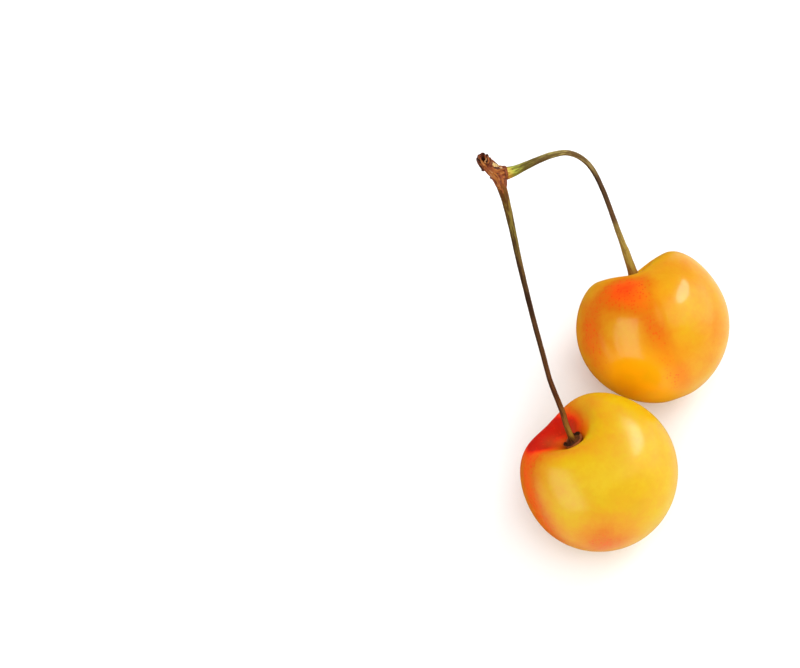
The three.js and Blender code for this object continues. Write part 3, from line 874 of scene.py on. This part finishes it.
def mark(tree, name, vector=False):
    """An attribute of the piece."""
    made = put(tree, "ShaderNodeAttribute", attribute_name=name)
    return made.outputs["Vector" if vector else "Fac"]


def object_place(tree):
    """Object coordinates."""
    return put(tree, "ShaderNodeTexCoord").outputs["Object"]


def vector_math(tree, operation, result, inputs):
    """A Vector Math node's result."""
    return put(tree, "ShaderNodeVectorMath", inputs, operation=operation).outputs[result]


def glossy_ray(tree):
    """One for light on its way from a mirror image, and zero for other light."""
    return put(tree, "ShaderNodeLightPath").outputs["Is Glossy Ray"]


def noise(tree, place, scale, detail=3.0, roughness=0.5):
    """A noise texture's value."""
    values = {"Vector": place, "Scale": scale, "Detail": detail, "Roughness": roughness}
    return put(tree, "ShaderNodeTexNoise", values).outputs["Fac"]


def new_group(name, inputs, outputs):
    """A shader group with named sockets, its input node and its output node."""
    group = bpy.data.node_groups.new(name, "ShaderNodeTree")
    for socket, kind, default in inputs:
        made = group.interface.new_socket(socket, in_out="INPUT", socket_type=kind)
        if default is not None:
            made.default_value = default
    for socket, kind in outputs:
        group.interface.new_socket(socket, in_out="OUTPUT", socket_type=kind)
    return group, group.nodes.new("NodeGroupInput"), group.nodes.new("NodeGroupOutput")


def use_group(tree, build, inputs):
    """Places a shader group in a material, building it the first time."""
    group = bpy.data.node_groups.get(build.group_name) or build()
    return put(tree, "ShaderNodeGroup", inputs, node_tree=group).outputs


def build_mottle():
    """Uneven colour at three sizes: broad clouds, blotches and fine grain, summed round zero."""
    group, given, result = new_group(
        build_mottle.group_name,
        (("Place", "NodeSocketVector", None), ("Clouds", "NodeSocketFloat", 0.1),
         ("Blotches", "NodeSocketFloat", 0.1), ("Grain", "NodeSocketFloat", 0.05)),
        (("Change", "NodeSocketFloat"),),
    )
    total = None
    for name, scale, detail in (("Clouds", 120.0, 2.0), ("Blotches", 420.0, 3.0), ("Grain", 1700.0, 4.0)):
        value = calculate(group, "SUBTRACT", noise(group, given.outputs["Place"], scale, detail), 0.5)
        part = calculate(group, "MULTIPLY", value, given.outputs[name])
        total = part if total is None else calculate(group, "ADD", total, part)
    group.links.new(total, result.inputs["Change"])
    return group


build_mottle.group_name = "Mottle"


def build_speckle():
    """Small round dots with soft edges: the space round each Voronoi point, kept in a share of the cells."""
    group, given, result = new_group(
        build_speckle.group_name,
        (("Place", "NodeSocketVector", None), ("Scale", "NodeSocketFloat", 1500.0),
         ("Size", "NodeSocketFloat", 0.25), ("Cover", "NodeSocketFloat", 0.5)),
        (("Dots", "NodeSocketFloat"),),
    )
    cells = put(group, "ShaderNodeTexVoronoi", {
        "Vector": given.outputs["Place"], "Scale": given.outputs["Scale"], "Randomness": 1.0,
    })
    near = calculate(group, "DIVIDE", cells.outputs["Distance"], given.outputs["Size"])
    dot = calculate(group, "SUBTRACT", 1.0, between(group, near, 0.35, 1.0))
    pick = put(group, "ShaderNodeSeparateColor", {"Color": cells.outputs["Color"]}).outputs[0]
    kept = calculate(group, "LESS_THAN", pick, given.outputs["Cover"])
    group.links.new(calculate(group, "MULTIPLY", dot, kept), result.inputs["Dots"])
    return group


build_speckle.group_name = "Speckle"


def build_grain():
    """Lengthwise stripes of a stem or of bark: noise squeezed along the stem, in a broad and a fine size."""
    group, given, result = new_group(
        build_grain.group_name,
        (("Place", "NodeSocketVector", None), ("Stretch", "NodeSocketFloat", 0.12),
         ("Scale", "NodeSocketFloat", 2.0)),
        (("Stripes", "NodeSocketFloat"), ("Fibres", "NodeSocketFloat"), ("Height", "NodeSocketFloat")),
    )
    squeeze = put(group, "ShaderNodeCombineXYZ", {"X": 1.0, "Y": 1.0, "Z": given.outputs["Stretch"]})
    place = vector_math(group, "MULTIPLY", 0, {0: given.outputs["Place"], 1: squeeze.outputs[0]})
    scaled = vector_math(group, "SCALE", 0, {0: place, "Scale": given.outputs["Scale"]})
    broad = noise(group, scaled, 1.0, 3.0, 0.55)
    fine = noise(group, scaled, 4.0, 4.0, 0.6)
    height = calculate(group, "MULTIPLY_ADD", fine, 0.6, broad)
    group.links.new(broad, result.inputs["Stripes"])
    group.links.new(fine, result.inputs["Fibres"])
    group.links.new(height, result.inputs["Height"])
    return group


build_grain.group_name = "Length Grain"


def new_material(name):
    """An empty material, its tree and its Principled shader."""
    made = bpy.data.materials.new(name)
    made.use_nodes = True
    return made, made.node_tree, made.node_tree.nodes["Principled BSDF"]


def finish_surface(tree, shader, colour, roughness, specular, height, strength, distance):
    """Joins a finish's colour, roughness, specular level and bump to its shader."""
    tree.links.new(colour, shader.inputs["Base Color"])
    tree.links.new(roughness, shader.inputs["Roughness"])
    shader.inputs["Specular IOR Level"].default_value = specular
    bump = put(tree, "ShaderNodeBump", {"Height": height, "Strength": strength, "Distance": distance})
    tree.links.new(bump.outputs["Normal"], shader.inputs["Normal"])


# ================================================================ finishes


def skin_finish(name, settings, glow, gloss, coat, coat_roughness):
    """Waxy bicoloured cherry skin: a ramp from straw yellow through amber and orange to red by ripeness,
    ending in a darker red that is painted shade in the hollow, with painted light laid over shaded flesh,
    mottling, red flecks where the blush fades, pale breathing dots and a fine uneven sheen."""
    material, tree, shader = new_material(name)
    place = object_place(tree)
    mottle = use_group(tree, build_mottle, {"Place": place, "Clouds": 0.16, "Blotches": 0.20, "Grain": 0.12})
    ripeness = calculate(tree, "ADD", mark(tree, "ripeness"), mottle["Change"], clamp=True)
    # The wine stop past the red is painted shade on the wall of the hollow.
    colour = ramp(tree, ripeness, (
        (0.0, settings["straw"]), (0.14, settings["gold"]), (0.30, settings["amber"]),
        (0.52, settings["orange"]), (0.74, settings["blush"]), (0.90, settings["red"]),
        (1.0, settings["wine"]),
    ))
    # Painted light: the lit colour laid over flesh that lies in shade.
    colour = mix(tree, mark(tree, "glow"), colour, glow)
    clouds = between(tree, noise(tree, place, 260.0), 0.3, 0.65)
    colour = lay_over(tree, colour, mark(tree, "deepening"), clouds, settings["deep"])
    blushing = between(tree, mark(tree, "ripeness"), 0.36, 0.62)
    for scale, size, cover, over in ((2000.0, 0.5, 0.5, "red"), (900.0, 0.17, 0.6, "socket")):
        values = {"Place": place, "Scale": scale, "Size": size, "Cover": cover}
        flecks = calculate(tree, "MULTIPLY", use_group(tree, build_speckle, values)["Dots"], blushing)
        colour = lay_over(tree, colour, flecks, 0.5, settings[over])
    pores = use_group(tree, build_speckle, {"Place": place, "Scale": 620.0, "Size": 0.12, "Cover": 0.35})
    colour = lay_over(tree, colour, pores["Dots"], 0.25, settings["straw"])
    colour = lay_over(tree, colour, mark(tree, "bruise"), 0.6, settings["bruise"])
    colour = lay_over(tree, colour, mark(tree, "suture"), 0.16, settings["orange"])
    colour = mix(tree, mark(tree, "socket"), colour, settings["socket"])
    colour = mix(tree, mark(tree, "scar"), colour, settings["scar"])
    sheen = between(tree, noise(tree, place, 330.0, 4.0, 0.6), 0.3, 0.7, gloss - 0.05, gloss + 0.07)
    waxed = between(tree, mark(tree, "shelter"), 0.0, 1.0, coat, 0.1 * coat)
    tree.links.new(waxed, shader.inputs["Coat Weight"])
    shader.inputs["Coat Roughness"].default_value = coat_roughness
    shader.inputs["Subsurface Weight"].default_value = 0.35
    shader.inputs["Subsurface Radius"].default_value = (1.0, 0.36, 0.06)
    shader.inputs["Subsurface Scale"].default_value = 0.003
    height = calculate(
        tree, "MULTIPLY_ADD", noise(tree, place, 2600.0, 3.0), 0.25, noise(tree, place, 520.0, 2.0)
    )
    finish_surface(tree, shader, colour, sheen, 0.02, height, 0.12, 0.0002)
    return material


def stalk_finish(name, shade_zones, light_zones, dark, disc):
    """Drying stem: brown and olive stripes along it, each with its own change of colour from end to end, dark
    flecks, and a scorched collar whose underside is darkened as painted shade. The olive lies more on the
    stem's right side, as painted light from that side."""
    material, tree, shader = new_material(name)
    grain_place = mark(tree, "grain_place", vector=True)
    grain = use_group(tree, build_grain, {"Place": grain_place, "Stretch": 0.16, "Scale": 1.5})
    wander = calculate(tree, "MULTIPLY_ADD", grain["Stripes"], 0.05, -0.025)
    along = calculate(tree, "ADD", mark(tree, "along"), wander)
    # Painted light: the olive stripes are pushed towards the stem's right side, where light falls.
    side = put(tree, "ShaderNodeSeparateXYZ", {"Vector": grain_place}).outputs["X"]
    lit = calculate(tree, "MULTIPLY_ADD", side, 0.09, grain["Stripes"])
    fine = calculate(tree, "MULTIPLY_ADD", grain["Fibres"], 0.35, lit)
    shade, light = ramp(tree, along, shade_zones), ramp(tree, along, light_zones)
    colour = mix(tree, between(tree, fine, 0.58, 0.78), shade, light)
    place = object_place(tree)
    flecks = use_group(tree, build_speckle, {"Place": place, "Scale": 2300.0, "Size": 0.3, "Cover": 0.3})
    colour = lay_over(tree, colour, flecks["Dots"], 0.5, dark)
    colour = lay_over(tree, colour, mark(tree, "collar"), 0.9, disc)
    # The collar's dark rim, and painted shade on its underside.
    rim = between(tree, calculate(tree, "MULTIPLY_ADD", grain["Fibres"], 0.5, mark(tree, "rim")), 0.62, 1.0)
    colour = mix(tree, rim, colour, dark)
    roughness = between(tree, grain["Fibres"], 0.3, 0.7, 0.48, 0.72)
    finish_surface(tree, shader, colour, roughness, 0.04, grain["Height"], 0.6, 0.00015)
    return material


def bark_finish(name, settings):
    """Old bud wood: strands from near black to rust and tan by their tone, pale cork at the ring scars, and
    painted shade in the hollow at the tip."""
    material, tree, shader = new_material(name)
    grain_place = mark(tree, "grain_place", vector=True)
    grain = use_group(tree, build_grain, {"Place": grain_place, "Stretch": 0.3, "Scale": 3.2})
    change = calculate(tree, "MULTIPLY_ADD", grain["Fibres"], 0.7, -0.35)
    tone = calculate(tree, "ADD", mark(tree, "tone"), change, clamp=True)
    colour = ramp(tree, tone, (
        (0.0, settings["black"]), (0.2, settings["dark"]), (0.45, settings["rust"]),
        (0.75, settings["tan"]), (1.0, settings["pale"]),
    ))
    place = object_place(tree)
    redness = between(tree, noise(tree, place, 900.0, 2.0), 0.45, 0.62)
    colour = lay_over(tree, colour, redness, 0.55, settings["maroon"])
    frayed = calculate(tree, "MULTIPLY_ADD", grain["Stripes"], 0.9, mark(tree, "pale"))
    colour = mix(tree, between(tree, frayed, 0.85, 1.35), colour, settings["cork"])
    flecks = use_group(tree, build_speckle, {"Place": place, "Scale": 2600.0, "Size": 0.35, "Cover": 0.35})
    colour = lay_over(tree, colour, flecks["Dots"], 0.55, settings["black"])
    # Painted shade inside the cup's hollow.
    colour = mix(tree, mark(tree, "hollow"), colour, settings["dark"])
    roughness = between(tree, grain["Fibres"], 0.3, 0.7, 0.5, 0.8)
    finish_surface(tree, shader, colour, roughness, 0.2, grain["Height"], 0.8, 0.0002)
    return material


# ================================================================ settings


def colour_setting(name, description, red, green, blue):
    """A colour property with its default."""
    return bpy.props.FloatVectorProperty(
        name=name, description=description, subtype="COLOR", size=4, min=0.0, max=1.0,
        default=(red, green, blue, 1.0),
    )


def radiance_setting(name, description, default, highest):
    """A light's radiance as a property with its default."""
    return bpy.props.FloatProperty(name=name, description=description, default=default, min=0.0, max=highest)


class CherrySettings(bpy.types.PropertyGroup):
    """Sizes and colours of the two cherries and what holds them."""

    front_radius: bpy.props.FloatProperty(
        name="Front Radius", description="Half the width of the front cherry",
        default=0.0131, min=0.008, max=0.016, unit="LENGTH",
    )
    back_radius: bpy.props.FloatProperty(
        name="Back Radius", description="Half the width of the back cherry",
        default=0.01305, min=0.008, max=0.016, unit="LENGTH",
    )
    ridge: bpy.props.FloatProperty(
        name="Stalk Ridges", description="Height of the lengthwise ridges as a share of the stalk's radius",
        default=0.07, min=0.0, max=0.3, subtype="FACTOR",
    )
    straw: colour_setting("Straw", "Palest yellow of the skin", 0.65, 0.46, 0.008)
    gold: colour_setting("Gold", "Yellow of the skin", 0.61, 0.37, 0.002)
    amber: colour_setting("Amber", "Orange yellow of the skin", 0.62, 0.275, 0.006)
    orange: colour_setting("Orange", "Orange of the skin", 0.59, 0.136, 0.001)
    blush: colour_setting("Blush", "Red orange of the blush", 0.75, 0.072, 0.002)
    red: colour_setting("Red", "Deepest red of the skin", 0.72, 0.013, 0.001)
    # Painted shade: the darker red on the wall of the hollow.
    wine: colour_setting("Wine", "Shaded red in the hollow", 0.48, 0.007, 0.001)
    deep: colour_setting("Deep Gold", "Darker gold of the thick flesh", 0.56, 0.31, 0.001)
    # Painted light: lit flesh laid over shade in the front hollow and under the back fruit.
    flame: colour_setting("Flame", "Lit flesh in the front fruit's hollow", 0.93, 0.125, 0.001)
    bright: colour_setting("Bright Amber", "Lit flesh under the back fruit", 0.88, 0.36, 0.001)
    bruise: colour_setting("Bruise", "Brown clearing beside the stalk", 0.40, 0.075, 0.010)
    socket: colour_setting("Socket", "Bottom of the hollow", 0.46, 0.05, 0.003)
    scar: colour_setting("Scar", "Scar of the flower at the tip", 0.10, 0.05, 0.02)


class WoodSettings(bpy.types.PropertyGroup):
    """Colours of the stalks and the spur."""

    stalk_dark: colour_setting("Stalk Dark", "Dark lines and rim of the stalks", 0.035, 0.012, 0.004)
    disc: colour_setting("Disc", "Brown of the stalk's collar", 0.32, 0.092, 0.028)
    black: colour_setting("Bark Black", "Deepest crevices of the spur", 0.016, 0.005, 0.002)
    dark: colour_setting("Bark Dark", "Dark red brown of the spur", 0.085, 0.02, 0.006)
    maroon: colour_setting("Bark Maroon", "Reddish patches of the spur", 0.20, 0.030, 0.010)
    rust: colour_setting("Bark Rust", "Rust brown of the spur", 0.26, 0.055, 0.004)
    tan: colour_setting("Bark Tan", "Light strands of the spur", 0.40, 0.125, 0.013)
    pale: colour_setting("Bark Pale", "Frayed edges of the spur", 0.60, 0.36, 0.17)
    cork: colour_setting("Cork", "Pale ring scars of the spur", 0.66, 0.45, 0.17)


class StageSettings(bpy.types.PropertyGroup):
    """Table and lights."""

    table: colour_setting("Table", "Colour of the table", 0.93, 0.93, 0.93)
    window: radiance_setting("Window", "Radiance of the tall window", 12.5, 100.0)
    softbox: radiance_setting("Softbox", "Radiance of the broad softbox", 3.7, 100.0)
    room: radiance_setting("Room", "Radiance of the white room", 1.22, 10.0)
    ceiling: radiance_setting("Ceiling", "Radiance of the soft light overhead", 1.3, 10.0)


def colours(settings, *names):
    """Colour settings by name."""
    return {name: tuple(getattr(settings, name)) for name in names}


# ================================================================ operators


class CHERRY_OT_fruits(bpy.types.Operator):
    """Build the two cherries."""

    bl_idname = "cherry.fruits"
    bl_label = "Fruits"

    def execute(self, context):
        settings = context.scene.cherry_settings
        shift = layout_shift()
        skin = colours(
            settings, "straw", "gold", "amber", "orange", "blush", "red", "wine", "deep", "flame", "bright",
            "bruise", "socket", "scar",
        )
        for key, radius in (("front", settings.front_radius), ("back", settings.back_radius)):
            glow, *gloss = SKIN_GLOSS[key]
            made = write_mesh(f"{key}_cherry", [fruit_shell(key, radius / MM)], shift)
            finish = skin_finish(f"{key}_skin", skin, skin[glow], *gloss)
            finish_piece(made, finish, f"cherry_{key}")
        return {"FINISHED"}


class CHERRY_OT_stalks(bpy.types.Operator):
    """Build the two stalks."""

    bl_idname = "cherry.stalks"
    bl_label = "Stalks"

    def execute(self, context):
        settings = context.scene.cherry_settings
        wood = colours(context.scene.wood_settings, "stalk_dark", "disc")
        shift = layout_shift()
        for key, radius in (("front", settings.front_radius), ("back", settings.back_radius)):
            made = write_mesh(f"{key}_stalk", [stalk_shell(key, radius / MM, settings.ridge)], shift)
            zones = [
                [(place, srgb(*colour)) for place, *colour in ZONES[key, tint]] for tint in ("shade", "light")
            ]
            finish = stalk_finish(f"{key}_stalk", *zones, wood["stalk_dark"], wood["disc"])
            finish_piece(made, finish, f"stalk_{key}")
        return {"FINISHED"}


class CHERRY_OT_spur(bpy.types.Operator):
    """Build the woody spur that both stalks grow from."""

    bl_idname = "cherry.spur"
    bl_label = "Spur"

    def execute(self, context):
        wood = colours(context.scene.wood_settings, "black", "dark", "maroon", "rust", "tan", "pale", "cork")
        made = write_mesh("woody_spur", spur_shells(), layout_shift())
        finish_piece(made, bark_finish("spur_bark", wood), "spur")
        return {"FINISHED"}


def area_light(name, direction, size, radiance, shape="ELLIPSE", mirrored=True, lights_up=True, lean=0.0):
    """A flat light that faces the middle of the part, upright as the camera sees it or leaning to the right
    by an angle in degrees. Its power is pi times its area times its radiance. It may be only mirrored in
    gloss, or only light things up."""
    low, high = CAD_BOX
    middle = np.array((low + high) / 2)
    data = bpy.data.lights.new(name, "AREA")
    data.shape = shape
    data.size, data.size_y = size
    fill = math.pi / 4 if shape == "ELLIPSE" else 1.0
    data.energy = math.pi * size[0] * size[1] * fill * radiance
    lamp = bpy.data.objects.new(name, data)
    outward = unit(np.array(direction, float))
    tilt = math.radians(CAMERA_TILT)
    camera_up = np.array([0.0, math.sin(tilt), math.cos(tilt)])
    level = unit(np.cross(camera_up, outward))
    upright = np.cross(outward, level)
    lean = math.radians(lean)
    level, upright = (
        math.cos(lean) * level - math.sin(lean) * upright, math.cos(lean) * upright + math.sin(lean) * level,
    )
    place = middle + outward * LIGHT_DISTANCE
    lamp.matrix_world = Matrix([*np.stack([level, upright, outward, place], -1).tolist(), (0, 0, 0, 1)])
    lamp.visible_diffuse = lights_up
    lamp.visible_glossy = mirrored
    bpy.context.scene.collection.objects.link(lamp)


def room_light(strength):
    """A white room, a little brighter at the front and on the right. Reflections see it dim overhead,
    brighter low down, and nearly dark on the left."""
    world = bpy.data.worlds.new("room")
    world.use_nodes = True
    tree = world.node_tree
    background = tree.nodes["Background"]
    heading = put(tree, "ShaderNodeTexCoord").outputs["Generated"]
    height = put(tree, "ShaderNodeSeparateXYZ", {"Vector": heading}).outputs["Z"]
    seen = ramp(tree, height, [(place, (grey, grey, grey, 1.0)) for place, grey in ROOM_SEEN])
    side = vector_math(tree, "DOT_PRODUCT", "Value", {0: heading, 1: SEEN_SIDE})
    seen = mix(tree, between(tree, side, *ROOM_DARK_SPAN, ROOM_DARK_SHARE, 0.0), seen, ROOM_DARK)
    lean = vector_math(tree, "DOT_PRODUCT", "Value", {0: heading, 1: ROOM_LEAN})
    bright = calculate(tree, "ADD", lean, 1.0)
    tree.links.new(mix(tree, glossy_ray(tree), bright, seen), background.inputs["Color"])
    background.inputs["Strength"].default_value = strength
    bpy.context.scene.world = world


def table_finish(settings):
    """Matt white paper. The gloss of the fruits mirrors it as warm and dark near them, as if other fruits lay
    there, and as light further off to the right and in front."""
    material, tree, shader = new_material("table")
    at = object_place(tree)
    shaded = tuple(PAPER_SHADE * part for part in settings.table[:3]) + (1.0,)
    lit = mix(tree, noise(tree, at, 900.0, 2.0), shaded, tuple(settings.table))
    place = put(tree, "ShaderNodeSeparateXYZ", {"Vector": at}).outputs
    right = calculate(tree, "MAXIMUM", calculate(tree, "SUBTRACT", place["X"], DARK_PLACE[0]), 0.0)
    ahead = calculate(tree, "MAXIMUM", calculate(tree, "SUBTRACT", DARK_PLACE[1], place["Y"]), 0.0)
    square = calculate(tree, "MULTIPLY_ADD", ahead, ahead, calculate(tree, "MULTIPLY", right, right))
    away = calculate(tree, "POWER", square, 0.5)
    mirrored = ramp(tree, between(tree, away, *DARK_REACH), ((0.0, DARK_TABLE), (1.0, LIGHT_TABLE)))
    tree.links.new(mix(tree, glossy_ray(tree), lit, mirrored), shader.inputs["Base Color"])
    shader.inputs["Roughness"].default_value = 0.9
    shader.inputs["Specular IOR Level"].default_value = 0.1
    return material


def lay_table(settings):
    """A broad square of paper on the ground."""
    mesh = bpy.data.meshes.new("table")
    corners = [(x * TABLE_HALF, y * TABLE_HALF, 0) for x, y in ((-1, -1), (1, -1), (1, 1), (-1, 1))]
    mesh.from_pydata(corners, [], [(0, 1, 2, 3)])
    table = bpy.data.objects.new("table", mesh)
    bpy.context.scene.collection.objects.link(table)
    table.data.materials.append(table_finish(settings))


def hang_lights(settings):
    """The window, as its glint in gloss, the haze round that and its glow on things, then the ceiling, the
    softbox and the room."""
    window, glow = settings.window, settings.window * WINDOW_GLOW
    area_light("window_glint", WINDOW_DIRECTION, WINDOW_SIZE, window, lights_up=False, lean=WINDOW_LEAN)
    for direction, size, share in HAZES:
        area_light("window_haze", direction, size, window * share, lights_up=False)
    area_light("window_glow", WINDOW_DIRECTION, WINDOW_SIZE, glow, mirrored=False)
    area_light("ceiling", CEILING_DIRECTION, CEILING_SIZE, settings.ceiling, mirrored=False)
    area_light("softbox", SOFTBOX_DIRECTION, SOFTBOX_SIZE, settings.softbox, "RECTANGLE", lights_up=False)
    room_light(settings.room)


def set_camera():
    """The camera, tipped towards the part, and plain display colours."""
    scene = bpy.context.scene
    data = bpy.data.cameras.new("camera")
    data.lens = CAMERA_LENS
    data.clip_start = NEAREST_SEEN
    camera = bpy.data.objects.new("camera", data)
    camera.location = CAMERA_PLACE
    camera.rotation_euler = (math.radians(90 - CAMERA_TILT), 0.0, 0.0)
    scene.collection.objects.link(camera)
    scene.camera = camera
    scene.view_settings.view_transform = "Standard"


class CHERRY_OT_stage(bpy.types.Operator):
    """Set the table, the lights and the camera."""

    bl_idname = "cherry.stage"
    bl_label = "Stage"

    def execute(self, context):
        settings = context.scene.stage_settings
        lay_table(settings)
        hang_lights(settings)
        set_camera()
        return {"FINISHED"}


class CHERRY_PT_panel(bpy.types.Panel):
    """Lists the steps that build the cherries."""

    bl_idname = "CHERRY_PT_panel"
    bl_label = "Cherries on Stalks"
    bl_space_type = "VIEW_3D"
    bl_region_type = "UI"
    bl_category = "Cherries"

    def draw(self, context):
        for operator in OPERATORS:
            self.layout.operator(operator.bl_idname)
        scene = context.scene
        for group in (scene.cherry_settings, scene.wood_settings, scene.stage_settings):
            box = self.layout.box()
            for name in group.__annotations__:
                box.prop(group, name)


OPERATORS = (CHERRY_OT_fruits, CHERRY_OT_stalks, CHERRY_OT_spur, CHERRY_OT_stage)
CLASSES = (CherrySettings, WoodSettings, StageSettings, *OPERATORS, CHERRY_PT_panel)


def register():
    """Adds the classes and the settings to Blender."""
    for cls in CLASSES:
        bpy.utils.register_class(cls)
    bpy.types.Scene.cherry_settings = bpy.props.PointerProperty(type=CherrySettings)
    bpy.types.Scene.wood_settings = bpy.props.PointerProperty(type=WoodSettings)
    bpy.types.Scene.stage_settings = bpy.props.PointerProperty(type=StageSettings)


def unregister():
    """Takes the settings and the classes away again."""
    del bpy.types.Scene.stage_settings
    del bpy.types.Scene.wood_settings
    del bpy.types.Scene.cherry_settings
    for cls in reversed(CLASSES):
        bpy.utils.unregister_class(cls)


def main():
    """Builds everything through the operators."""
    register()
    bpy.ops.cherry.stage()
    bpy.ops.cherry.fruits()
    bpy.ops.cherry.stalks()
    bpy.ops.cherry.spur()


if __name__ == "__main__":
    main()
